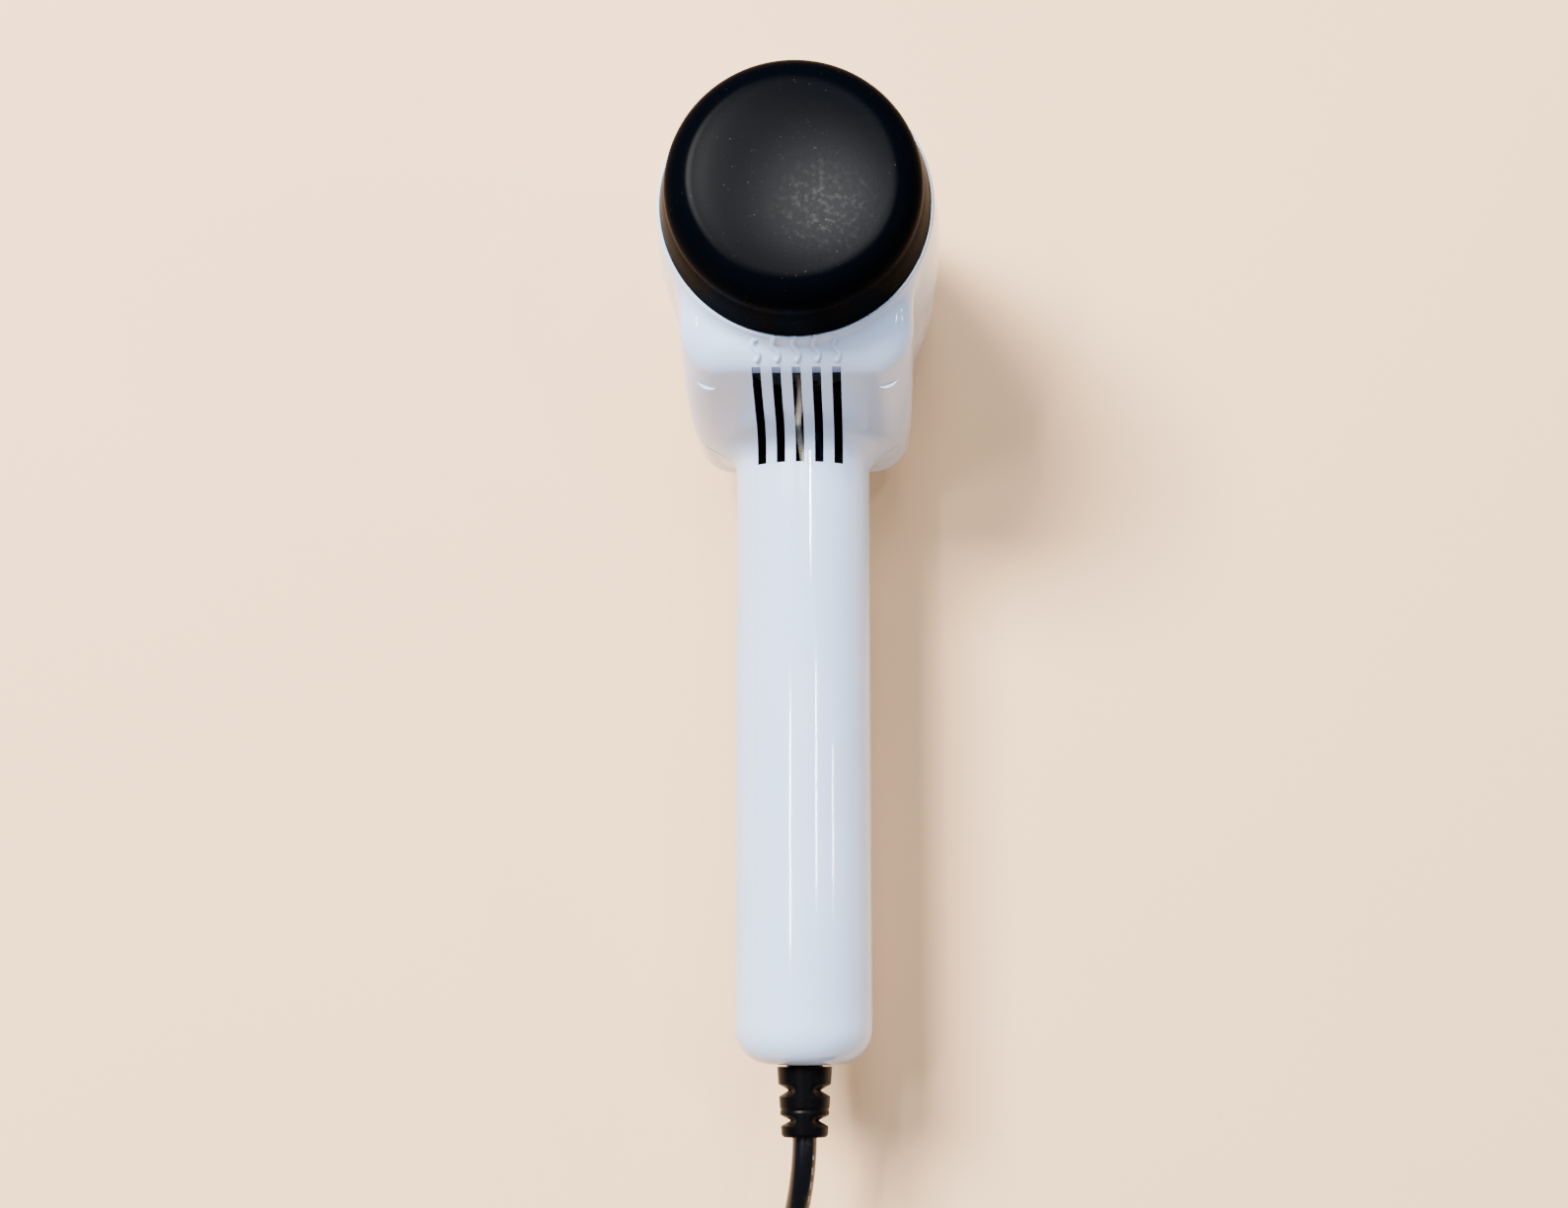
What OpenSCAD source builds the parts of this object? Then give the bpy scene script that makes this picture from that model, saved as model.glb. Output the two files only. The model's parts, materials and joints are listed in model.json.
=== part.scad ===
// Hair dryer that stands on its outlet rim, with a slim round handle.
// Origin: centre of the outlet rim. +Z: barrel axis, to the rear cap. -Y: along the handle.

/* [Barrel] */
// Radius of the barrel where it is widest
barrel_r = 35.2; // [35:0.1:37]
// Height of the widest ring above the outlet rim
barrel_wide_z = 62; // [58:1:66]
// Radius just behind the outlet collar
barrel_front_r = 33.6; // [33.4:0.1:34]
// Radius at the rear edge
barrel_rear_r = 33.0; // [32.9:0.1:33.4]
// Height of the rear edge
barrel_len = 101; // [101:1:102]
// Radius of the collar that a nozzle is pushed onto
collar_r = 32.8; // [32.6:0.1:33]
// Length of the collar
collar_len = 10; // [9:1:11]
// Wall thickness of the shells
wall = 2.2; // [2:0.1:2.3]

/* [Neck block] */
// Half width of the block between barrel and handle
block_half_w = 28; // [27.6:0.1:28.4]
// Height of its rear face
block_rear_z = 97; // [96:0.5:97.5]
// Height of its front face
block_front_z = 22; // [20:1:24]
// Radius of its two outer corners
block_corner_r = 10; // [9:0.5:11]
// Distance from the barrel axis to its outer corners
block_reach = 49.5; // [49:0.5:50]

/* [Handle] */
// Height of the handle axis, which is also the parting plane
handle_z = 46; // [45.5:0.5:46.5]
// Radius at the top of the handle
handle_r = 16.9; // [16.8:0.05:17]
// Radius at the foot of the handle
handle_foot_r = 17.1; // [17:0.05:17.3]
// Distance from the barrel axis to the foot
handle_reach = 203.2; // [203:0.1:203.4]
// Rounding of the foot's edge
foot_round = 9; // [7:0.5:10]

/* [Slots] */
// Number of air slots in the neck
slots = 5; // [3:2:5]
// Slot pitch
slot_pitch = 4.8; // [4.6:0.1:5]
// Slot width
slot_w = 2.15; // [1.8:0.05:2.4]
// Number of intake slots on the far side of the barrel
vents = 11; // [5:2:11]
// Width of an intake slot
vent_w = 2.4; // [2:0.1:2.6]

/* [Rear cap] */
// Radius of the cap's lower edge
cap_r = 32.4; // [32.2:0.1:32.5]
// Height of its skirt
skirt_h = 12; // [11:0.5:12.5]
// Radius at the top of the skirt
skirt_top_r = 31; // [30.8:0.1:31.2]
// Radius of the flat face
cap_face_r = 24; // [23:0.5:25]
// Overall height above the barrel's rear edge
cap_h = 22.5; // [22:0.5:23]
// Turn that frees the cap's lugs, in degrees
cap_turn = 45; // [45:1:45]

/* [Motor and fan] */
// Radius of the motor can
can_r = 17.5; // [17.3:0.1:17.6]
// Radius of the motor shaft
shaft_r = 1.5; // [1.5:0.1:1.6]
// Radius over the fan blades
fan_r = 29.2; // [29:0.1:29.3]
// Number of fan blades
blades = 9; // [7:2:9]

/* [Heater] */
// Outer radius of the mica sleeve
sleeve_r = 29.9; // [29.8:0.1:30]
// Number of heating coils
heater_rings = 5; // [4:1:5]
// Radius at the middle of a heating coil
heater_r = 24.5; // [24:0.1:25]

/* [Cord and plug] */
// Cord diameter
cord_d = 6; // [5.9:0.1:6.1]
// Radius of the coil at the middle of its turns
coil_r = 33; // [32:0.5:34]
// Radius of a plug pin
pin_r = 2.4; // [2.4:0.05:2.45]
// Free length of a plug pin
pin_len = 19; // [18.5:0.5:19.5]
// Distance between the plug pins' axes
pin_pitch = 19; // [18.6:0.2:19.4]

/* [Hidden] */
$fn = 96;

// Heights inside the barrel, from the outlet to the rear
grille_z = 1.6;
sleeve_z = 8.5;
sleeve_len = 32.5;
ledge_z = 41.5;
ledge_h = 2;
duct_z = 44.2;
duct_top_z = 93;
duct_r = 31;
duct_wall = 1.1;
can_z = 48;
can_len = 30;
can_wall = 1.3;
holder_plate_z = can_z + can_len + 0.1;
holder_plate_h = 1.5;
hub_z = 82;
hub_h = 10;
hub_r = 10.5;
shaft_z = 43.5;
shaft_len = hub_z + 7.3 - shaft_z;
flange_z = 99;
flange_r = 29.5;
spigot_r = 29.2;
spigot_z = 97;
lug_r = 30.5;
lug_h = 1.6;
lug_deg = 24;
screw_r = 1.45;
screw_head_r = 2.8;
screw_head_h = 2;
screw_len = 16;
seat_z = 36;
screw_spots = [[-21, -37.8], [21, -37.8], [0, -126], [0, -164]];
boss_r = 3.6;

// Places along the handle
cool_y = -58;
speed_y = -78;
heat_y = -103;
switch_len = 18;
stem_len = 5;
speed_travel = 8;
heat_travel = 4;
plate_half_w = 7.2;
plate_y0 = -118;
plate_y1 = -51.5;
clamp_y = -188;
clamp_half = 6.6;
cord_x = 0.5;
clamp_post_z = 32.3;
clamp_post_h = handle_z - 2.1 - clamp_post_z;
lead_r = 0.8;
lead_sides = 8;
exit_y = -220.4;
relief_y = -203.4;

// Route of the cord outside the coil: rounded points from the strain relief to the coil
CORD_ROUTE = [
    [0.5, -220.4, 46], [0.4, -224, 45.9], [0.1, -228, 45.4], [-0.4, -232, 44.2],
    [-1.1, -236, 42.2], [-2, -240, 39.4], [-3.1, -244, 36], [-4.4, -248, 32],
    [-5.8, -252, 27.8], [-7.3, -256, 23.2], [-9, -260, 18.8], [-10.8, -264, 14.8],
    [-12.8, -268, 11.2], [-14.9, -272, 8.2], [-17, -276, 5.8], [-19.2, -280, 4.1],
    [-21.5, -284, 3.2], [-23.8, -288, 3]];
coil_c = [10, -307.5];
coil_rows = 3;
coil_half = cord_d * coil_rows / 2;
coil_edge = 1.5;
// The plug lies on the coil, its pins to -Y
plug_c = [-15.4, -336.6, cord_d * coil_rows + 13.05];
plug_half = 14;
plug_relief_len = 16;
// Route of the cord's last stretch, from the top of the coil to the plug
TAIL_ROUTE = [
    [23.5, -284.1, 15], [20.6, -282.6, 15.3], [17.5, -281.6, 16], [14, -280.9, 17.4],
    [10.4, -280.6, 19.4], [6.8, -280.9, 21.8], [3.2, -281.8, 24.3], [-0.2, -283.3, 26.6],
    [-3.4, -285.2, 28.4], [-6.4, -287.6, 29.8], [-9, -290.5, 30.6], [-11.3, -293.8, 31],
    [-13, -297.4, 31.05], [-14.4, -301.2, 31.05], [-15.2, -304.6, 31.05], [-15.4, -306.6, 31.05]];

// ---- helpers ----
function arc(c, r, a0, a1, n) =
    [for (i = [0:n]) c + r * [cos(a0 + (a1 - a0) * i / n), sin(a0 + (a1 - a0) * i / n)]];

function barrel_radius(z) =
    z < barrel_wide_z
    ? barrel_r - (barrel_r - barrel_front_r) * pow((barrel_wide_z - z) / (barrel_wide_z - collar_len), 2)
    : barrel_r - (barrel_r - barrel_rear_r) * pow((z - barrel_wide_z) / (barrel_len - barrel_wide_z), 2);

function unit(v) = v / norm(v);

// Direction of a route at point i
function along(p, i) = unit(p[min(i + 1, len(p) - 1)] - p[max(i - 1, 0)]);

// A round bar swept along the points p. side is a direction that the route never follows.
module sweep(p, r, sides = 8, side = [1, 0, 0]) {
    n = len(p);
    rings = [for (i = [0:n - 1])
        let (t = along(p, i), u = unit(side - (side * t) * t), v = cross(t, u))
        for (k = [0:sides - 1]) p[i] + r * (cos(360 * k / sides) * u + sin(360 * k / sides) * v)];
    walls = [for (i = [0:n - 2], k = [0:sides - 1])
        let (a = i * sides, b = a + sides, m = (k + 1) % sides)
        each [[a + k, b + m, a + m], [a + k, b + k, b + m]]];
    polyhedron(rings, concat(walls, [[for (k = [0:sides - 1]) k]],
        [[for (k = [sides - 1:-1:0]) (n - 1) * sides + k]]));
}

module ring(r_out, r_in, h) {
    difference() {
        cylinder(r = r_out, h = h);
        translate([0, 0, -1]) cylinder(r = r_in, h = h + 2);
    }
}

// A sector of a ring, centred on azimuth a
module ring_sector(r_out, r_in, h, a, spread) {
    rotate([0, 0, a - spread / 2])
        rotate_extrude(angle = spread)
            translate([r_in, 0]) square([r_out - r_in, h]);
}

// ---- outer form of the two shells; inset makes the hollow ----
module barrel_form(inset) {
    low = inset > 0 ? -1 : 0;
    high = inset > 0 ? barrel_len + 1 : barrel_len;
    side = [for (i = [0:10]) let (z = collar_len + (barrel_len - collar_len) * i / 10)
        [barrel_radius(z) - inset, z]];
    rotate_extrude()
        polygon(concat([[0, low], [collar_r - inset, low], [collar_r - inset, collar_len + inset]],
            [for (s = side) if (s[1] > collar_len + inset || inset == 0) s],
            [[side[10][0], high], [0, high]]));
}

module block_plan(inset) {
    w = block_half_w - inset;
    r = block_corner_r - inset / 2;
    reach = block_reach - inset;
    corner = arc([w - r, -reach + r + 1], r, 0, -70, 8);
    neck = handle_r + 0.6 - inset;
    right = concat([[w, -12]], corner, [[neck, -reach - 3.5]]);
    polygon(concat(right, [for (i = [len(right) - 1:-1:0]) [-right[i][0], right[i][1]]]));
}

module block_side(inset) {
    top = block_rear_z - inset;
    low = block_front_z + inset;
    k = inset;
    reach = -block_reach - 6;
    rotate([90, 0, 90])
        linear_extrude(height = 2 * block_half_w + 2, center = true)
            polygon(concat(
                [[-12, low], [-12, top]],
                arc([-34.6 + k, top - 5], 5, 90, 155, 5),
                [[-41.8 + k, 87], [-44.6 + k, 80.5], [-47.8 + k, 73.5], [-51.6 + k, 67.5],
                 [reach, handle_z + handle_r - 0.3 - k], [reach, handle_z - handle_r + 0.3 + k],
                 [-51 + k, 26.6 + k], [-47 + k, 23.4 + k], [-42 + k, low]]));
}

module block_form(inset) {
    intersection() {
        linear_extrude(height = 120) block_plan(inset);
        block_side(inset);
    }
}

module handle_form(inset) {
    r0 = handle_r - inset;
    r1 = handle_foot_r - inset;
    q = foot_round - inset;
    end = handle_reach - inset * 1.1;
    translate([0, 0, handle_z])
        rotate([90, 0, 0])
            rotate_extrude()
                polygon(concat([[0, 30], [r0, 30], [r0, 80]],
                    arc([r1 - q, end - q - 0.7], q, 0, 84, 9), [[0, end]]));
}

module dryer_form(inset) {
    barrel_form(inset);
    block_form(inset);
    handle_form(inset);
}

module hollow_form() {
    difference() {
        dryer_form(0);
        dryer_form(wall);
        gland_bore();
    }
}

module half_space(upper) {
    translate([-60, -220, upper ? handle_z : -10]) cube([120, 280, upper ? 100 : handle_z + 10]);
}

// ---- shells ----
module neck_slots() {
    for (i = [0:slots - 1])
        translate([(i - (slots - 1) / 2) * slot_pitch - slot_w / 2, -54.4, 63.2])
            cube([slot_w, 16.4, 40]);
}

module intake_vents() {
    for (i = [0:vents - 1])
        rotate([0, 0, 90 + (i - (vents - 1) / 2) * 7.2])
            translate([29, -vent_w / 2, 85])
                cube([10, vent_w, 11]);
}

module rear_rim() {
    difference() {
        translate([0, 0, flange_z]) ring(barrel_rear_r - wall / 2, flange_r, barrel_len - flange_z);
        for (a = [0:120:240])
            translate([0, 0, flange_z - 1])
                ring_sector(lug_r + 0.4, flange_r - 1, 5, a + 90 + cap_turn, lug_deg + 4);
    }
}

module heat_waves() {
    for (row = [0:2], i = [0:4])
        translate([(i - 2) * 4.4, -34.6 + 1.6 * (row - 1), block_rear_z - 0.1])
            cube([3.2, 0.7, 0.5], center = true);
}

// Posts that stand on the rear shell's wall and take the screws
module rear_bosses() {
    for (s = screw_spots)
        translate([s[0], s[1], handle_z])
            difference() {
                cylinder(r = boss_r, h = s[0] == 0 ? handle_r - wall / 2 : 40);
                translate([0, 0, -1]) cylinder(r = screw_r + 0.05, h = 11);
            }
}

module rear_shell() {
    color("white") {
        difference() {
            intersection() {
                hollow_form();
                half_space(true);
            }
            neck_slots();
            intake_vents();
        }
        rear_rim();
        rear_bosses();
        heat_waves();
    }
}

module gland_bore() {
    translate([cord_x, -handle_reach - 1, handle_z]) rotate([-90, 0, 0]) cylinder(r = 4.6, h = 5);
}

module switch_window() {
    translate([-plate_half_w - 0.1, plate_y0 - 0.1, 20])
        cube([2 * plate_half_w + 0.2, plate_y1 - plate_y0 + 0.2, 20]);
}

// Posts round the screw recesses, and two short ones for the cord clamp
module front_bosses() {
    for (s = screw_spots) {
        low = s[0] == 0 ? handle_z - handle_r + wall / 2 : block_front_z + wall / 2;
        translate([s[0], s[1], low]) cylinder(r = boss_r + 0.8, h = handle_z - low);
    }
    for (s = [-1, 1])
        translate([cord_x + s * clamp_half, clamp_y, clamp_post_z]) cylinder(r = 2.6, h = clamp_post_h);
}

// Cross ribs that hold the switches
module switch_ribs() {
    spans = [[speed_y + speed_travel / 2, switch_len / 2 + 0.85, 34.5, 6.5],
        [heat_y + heat_travel / 2, switch_len / 2 + 0.85, 34.5, 6.5], [cool_y, 5.85, 39.8, 4.6]];
    intersection() {
        for (q = spans, s = [-1, 1])
            translate([-16, q[0] + s * q[1] - 0.75, q[2]]) cube([32, 1.5, q[3]]);
        handle_tube(handle_r - wall / 2, 0, plate_y0, -44);
    }
}

module front_shell() {
    color("white")
        difference() {
            union() {
                intersection() {
                    hollow_form();
                    half_space(false);
                }
                // lip that holds the grille
                ring(collar_r - wall / 2, collar_r - wall - 1.2, 1.2);
                // ledge between the heater and the fan duct
                translate([0, 0, ledge_z]) ring(barrel_r - wall / 2 - 0.6, sleeve_r - 1.4, ledge_h);
                front_bosses();
            }
            for (s = screw_spots)
                translate([s[0], s[1], 0]) {
                    cylinder(r = screw_head_r + 0.3, h = seat_z);
                    cylinder(r = screw_r + 0.05, h = 60);
                }
            for (s = [-1, 1])
                translate([cord_x + s * clamp_half, clamp_y, 34]) cylinder(r = 1.3, h = 20);
            switch_window();
            // way for the heater lead through the ledge
            translate([-5, -36, ledge_z - 1]) cube([10, 9, ledge_h + 2]);
        }
    color("white") switch_ribs();
}

module shell_screws() {
    color("silver")
        for (s = screw_spots)
            translate([s[0], s[1], seat_z - screw_head_h - 0.02]) {
                difference() {
                    cylinder(r = screw_head_r, h = screw_head_h);
                    for (a = [0, 90])
                        rotate([0, 0, a]) translate([-1.6, -0.35, -1]) cube([3.2, 0.7, 2]);
                }
                cylinder(r = screw_r, h = screw_head_h + screw_len);
            }
}

// ---- rear cap, with three bayonet lugs ----
module rear_cap() {
    z0 = barrel_len + 0.3;
    top = cap_h - 1.4;
    shoulder = top - skirt_h;
    // the shoulder is a quarter of an ellipse from the skirt to the face
    outside = [for (a = [0:10:90])
        [cap_face_r + (skirt_top_r - cap_face_r) * cos(a), skirt_h + shoulder * sin(a)]];
    inside = [for (a = [90:-10:0])
        [cap_face_r - 1.2 + (skirt_top_r - cap_face_r - 0.8) * cos(a), skirt_h + (shoulder - 2) * sin(a)]];
    color([0.06, 0.06, 0.08])
        translate([0, 0, z0]) {
            rotate_extrude()
                polygon(concat([[cap_r, 0]], outside, [[cap_face_r / 2, cap_h - 0.75], [0, cap_h - 0.5],
                    [0, cap_h - 2.6], [cap_face_r / 2, cap_h - 2.8]], inside, [[cap_r - 2, 0]]));
            for (a = [0:120:240]) {
                translate([0, 0, spigot_z - z0])
                    ring_sector(spigot_r, spigot_r - 1.8, 8, a + 90, lug_deg + 16);
                translate([0, 0, 1])
                    ring_sector(cap_r - 1.2, spigot_r - 1, 2, a + 90, lug_deg + 16);
                translate([0, 0, spigot_z - z0])
                    ring_sector(lug_r, spigot_r - 1, lug_h, a + 90, lug_deg);
            }
        }
}

module outlet_grille() {
    r = collar_r - wall - 0.4;
    color([0.1, 0.1, 0.1])
        translate([0, 0, grille_z]) {
            ring(r, r - 1.6, 6.4);
            for (k = [1:4])
                translate([0, 0, 0.2]) ring(6.1 * k + 0.6, 6.1 * k - 0.6, 1.6);
            cylinder(r = 3, h = 2.2);
            for (a = [0:45:315])
                rotate([0, 0, a]) translate([2, -0.6, 0.4]) cube([r - 3, 1.2, 1.2]);
        }
}

// ---- fan, motor and their duct ----
module fan_duct() {
    color([0.85, 0.84, 0.8])
        difference() {
            union() {
                translate([0, 0, duct_z]) ring(duct_r, duct_r - duct_wall, duct_top_z - duct_z);
                translate([0, 0, can_z + 2])
                    ring(can_r + 1.4, can_r + 0.15, holder_plate_z + holder_plate_h - can_z - 2);
                translate([0, 0, holder_plate_z]) ring(can_r + 1.4, 6.6, holder_plate_h);
                for (a = [30:60:330])
                    rotate([0, 0, a])
                        translate([can_r + 0.8, -0.6, can_z + 2])
                            cube([duct_r - can_r - 1.2, 1.2, 28]);
            }
            for (a = [0, 180])
                rotate([0, 0, a]) translate([10, 0, holder_plate_z - 1]) cylinder(r = 1.35, h = 4);
            // way for the motor lead
            translate([-4, -33, duct_z - 1]) cube([8, 6, 7]);
        }
}

module motor_can() {
    color("silver")
        difference() {
            translate([0, 0, can_z]) cylinder(r = can_r, h = can_len);
            translate([0, 0, can_z - 1]) cylinder(r = can_r - can_wall, h = can_len + 1 - can_wall);
            translate([0, 0, can_z]) cylinder(r = 3.5, h = can_len + 5);
            for (a = [0, 180])
                rotate([0, 0, a]) translate([10, 0, can_z + can_len - 3]) cylinder(r = 1.25, h = 6);
        }
}

module motor_magnets() {
    color([0.25, 0.25, 0.27])
        for (a = [0, 180])
            translate([0, 0, can_z + 4]) ring_sector(can_r - can_wall - 0.1, 13, 22, a, 130);
}

module brush_plate() {
    color([0.15, 0.15, 0.16])
        translate([0, 0, can_z - 1.6])
            difference() {
                union() {
                    cylinder(r = can_r, h = 1.5);
                    translate([0, 0, 1.4]) ring(can_r - can_wall - 0.1, can_r - 3, 2);
                    translate([0, 0, -1.6]) cylinder(r = 5, h = 3);
                }
                translate([0, 0, -3]) cylinder(r = 3, h = 9);
            }
}

module carbon_brushes() {
    color([0.12, 0.12, 0.12])
        for (s = [-1, 1])
            translate([s * 6.7, 0, can_z + 1.6]) cube([4.6, 3, 3], center = true);
}

module bushing(z, r_out, h) {
    color([0.75, 0.6, 0.3])
        translate([0, 0, z]) ring(r_out, shaft_r + 0.03, h);
}

module front_bushing() {
    bushing(can_z - 3, 2.98, 3);
}

module rear_bushing() {
    color([0.75, 0.6, 0.3])
        translate([0, 0, can_z + can_len - 3])
            difference() {
                cylinder(r = 3.45, h = 4);
                translate([0, 0, -1]) cylinder(r = shaft_r + 0.03, h = 6);
            }
}

module motor_screws() {
    color("silver")
        for (a = [0, 180])
            rotate([0, 0, a])
                translate([10, 0, holder_plate_z + holder_plate_h - 3.4]) {
                    cylinder(r = 1.2, h = 3.5);
                    translate([0, 0, 3.42])
                        difference() {
                            cylinder(r = 2.1, h = 1.1);
                            translate([-1.4, -0.3, 0.6]) cube([2.8, 0.6, 2]);
                        }
                }
}

module motor_shaft() {
    color("gainsboro") translate([0, 0, shaft_z]) cylinder(r = shaft_r, h = shaft_len);
}

module armature() {
    slot_count = 5;
    color([0.5, 0.5, 0.52])
        translate([0, 0, can_z + 6])
            difference() {
                cylinder(r = 12.4, h = 18);
                translate([0, 0, -1]) cylinder(r = shaft_r + 0.01, h = 20);
                for (i = [0:slot_count - 1])
                    rotate([0, 0, i * 360 / slot_count]) {
                        translate([8.6, 0, -1]) cylinder(r = 2.9, h = 20);
                        translate([8.6, -0.8, -1]) cube([5, 1.6, 20]);
                    }
            }
}

module windings() {
    color([0.72, 0.35, 0.15])
        for (i = [0:4])
            rotate([0, 0, i * 72])
                translate([8.4, 0, can_z + 4.6]) cylinder(r = 2.5, h = 20.8);
}

module commutator() {
    color([0.8, 0.5, 0.25])
        translate([0, 0, can_z + 0.2])
            difference() {
                cylinder(r = 4.2, h = 4.2);
                translate([0, 0, -1]) cylinder(r = shaft_r + 0.01, h = 7);
                for (i = [0:4])
                    rotate([0, 0, i * 72 + 36]) translate([3.4, -0.15, -1]) cube([2, 0.3, 7]);
            }
}

module fan() {
    color([0.2, 0.2, 0.22])
        translate([0, 0, hub_z])
            difference() {
                union() {
                    rotate_extrude()
                        polygon(concat([[0, 0], [hub_r, 0]], arc([hub_r - 3, hub_h - 3], 3, 0, 80, 5),
                            [[0, hub_h + 0.4]]));
                    for (i = [0:blades - 1])
                        rotate([0, 0, i * 360 / blades])
                            intersection() {
                                translate([hub_r - 1, 0, hub_h / 2])
                                    rotate([38, 0, 0])
                                        translate([0, -6.2, -0.6]) cube([22, 12.4, 1.2]);
                                cylinder(r = fan_r, h = hub_h);
                            }
                }
                translate([0, 0, -1]) cylinder(r = 2.8, h = 8.5);
            }
}

module fan_bush() {
    color([0.8, 0.65, 0.3])
        translate([0, 0, hub_z + 0.2]) ring(2.78, shaft_r + 0.01, 7);
}

// ---- heater ----
module mica_sleeve() {
    color([0.8, 0.76, 0.62])
        translate([0, 0, sleeve_z]) ring(sleeve_r, sleeve_r - 0.5, sleeve_len);
}

module mica_cross() {
    half = sleeve_r - 1.2;
    pitch = (sleeve_len - 6) / (heater_rings - 1);
    color([0.82, 0.78, 0.66])
        difference() {
            for (a = [0, 90])
                rotate([0, 0, a])
                    translate([-half, -0.4, sleeve_z + 0.5]) cube([2 * half, 0.8, sleeve_len - 1]);
            for (k = [0:heater_rings - 1])
                translate([0, 0, sleeve_z + 3 + pitch * k])
                    rotate_extrude() translate([heater_r, 0]) circle(r = 2, $fn = 32);
        }
}

module heater_coils() {
    pitch = (sleeve_len - 6) / (heater_rings - 1);
    color([0.6, 0.56, 0.5])
        for (k = [0:heater_rings - 1])
            translate([0, 0, sleeve_z + 3 + pitch * k])
                rotate_extrude() translate([heater_r, 0]) circle(r = 1.7, $fn = 32);
}

module thermal_cutout() {
    color([0.7, 0.7, 0.72])
        translate([6, 0.5, 30]) {
            cube([9, 3, 5]);
            translate([1, 1, 4.8]) cube([6, 0.6, 2]);
        }
}

module thermal_fuse() {
    color([0.85, 0.85, 0.8])
        translate([-9, 2.2, 20]) cylinder(r = 1.6, h = 9);
}

module rectifier() {
    color([0.1, 0.1, 0.11])
        for (a = [45:90:315])
            rotate([0, 0, a]) translate([12, -3, can_z - 4.6]) rotate([-90, 0, 0]) cylinder(r = 1.35, h = 6);
}

module noise_capacitor() {
    color([0.75, 0.6, 0.1]) translate([-9, -150, handle_z - 4]) cube([18, 13, 8]);
}

module motor_chokes() {
    color([0.3, 0.28, 0.26])
        for (s = [-1, 1])
            translate([s * 8.5, -133, handle_z - 3]) rotate([-90, 0, 0]) cylinder(r = 2.4, h = 14);
}

// ---- controls on the front of the handle ----
module handle_tube(r_out, r_in, y0, y1) {
    translate([0, y1, handle_z])
        rotate([90, 0, 0])
            difference() {
                cylinder(r = r_out, h = y1 - y0);
                if (r_in > 0)
                    translate([0, 0, -1]) cylinder(r = r_in, h = y1 - y0 + 2);
            }
}

module switch_plate() {
    color([0.08, 0.08, 0.09])
        difference() {
            intersection() {
                handle_tube(handle_r + 0.5, handle_r - wall, plate_y0, plate_y1);
                translate([-plate_half_w, plate_y0, 20]) cube([2 * plate_half_w, plate_y1 - plate_y0, 25]);
            }
            slider_way(speed_y, speed_travel);
            slider_way(heat_y, heat_travel);
            translate([0, cool_y, 20]) cylinder(r = 4.35, h = 20);
        }
}

module slider_way(y, travel) {
    translate([-2.4, y - stem_len / 2 - 0.4, 20]) cube([4.8, stem_len + travel + 0.8, 20]);
}

module slide_switch(y, travel) {
    middle = y + travel / 2;
    color([0.16, 0.16, 0.17])
        difference() {
            translate([-5.5, middle - switch_len / 2, 32.8]) cube([11, switch_len, 8.4]);
            translate([-2.4, y - stem_len / 2 - 0.4, 32]) cube([4.8, stem_len + travel + 0.8, 3.6]);
        }
    color("silver")
        for (k = [-1:1])
            translate([-1, middle + 5 * k - 0.4, 41]) cube([2, 0.8, 4]);
}

module slider(y) {
    color([0.1, 0.1, 0.1]) {
        translate([-4.5, y - 4, 26.1]) cube([9, 8, 2.2]);
        for (k = [-1:1])
            translate([-4.5, y + 2.4 * k - 0.4, 25.6]) cube([9, 0.8, 0.6]);
        translate([-2, y - stem_len / 2, 28]) cube([4, stem_len, 7]);
    }
}

module speed_switch() {
    slide_switch(speed_y, speed_travel);
}

module heat_switch() {
    slide_switch(heat_y, heat_travel);
}

module speed_slider() {
    slider(speed_y);
}

module heat_slider() {
    slider(heat_y);
}

module cool_switch() {
    color([0.16, 0.16, 0.17]) translate([-5, cool_y - 5, 39.6]) cube([10, 10, 5]);
}

module cool_button() {
    color([0.2, 0.45, 0.7])
        translate([0, cool_y, 0]) {
            translate([0, 0, 27]) cylinder(r = 4, h = 7);
            translate([0, 0, 33.4]) cylinder(r = 5, h = 1);
            translate([0, 0, 34]) cylinder(r = 1.6, h = 3.4);
        }
}

module cool_spring() {
    turns = 3.5;
    steps = 42;
    pts = [for (i = [0:steps]) [2.9 * cos(360 * turns * i / steps), cool_y + 2.9 * sin(360 * turns * i / steps),
        34.9 + 4.2 * i / steps]];
    color("silver") sweep(pts, 0.35, 6, [0, 0, 1]);
}

// ---- leads and cord ----
module cord_clamp() {
    color([0.85, 0.84, 0.8])
        translate([cord_x, clamp_y, handle_z])
            difference() {
                translate([-9, -3, -2]) cube([18, 6, 8]);
                rotate([-90, 0, 0]) translate([0, 0, -5]) cylinder(r = cord_d / 2 + 0.02, h = 10);
                translate([-cord_d / 2 - 0.02, -5, -4]) cube([cord_d + 0.04, 10, 4]);
                for (s = [-1, 1])
                    translate([s * clamp_half, 0, -5]) cylinder(r = 1.35, h = 15);
            }
}

module clamp_screws() {
    color("silver")
        for (s = [-1, 1])
            translate([cord_x + s * clamp_half, clamp_y, 0]) {
                translate([0, 0, 38]) cylinder(r = 1.25, h = 14.1);
                translate([0, 0, 52.05]) cylinder(r = 2.2, h = 1.4);
            }
}

module cord_core() {
    color([0.05, 0.05, 0.06])
        translate([cord_x, exit_y + 0.02, handle_z]) rotate([-90, 0, 0]) cylinder(r = cord_d / 2, h = 46);
}

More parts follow.
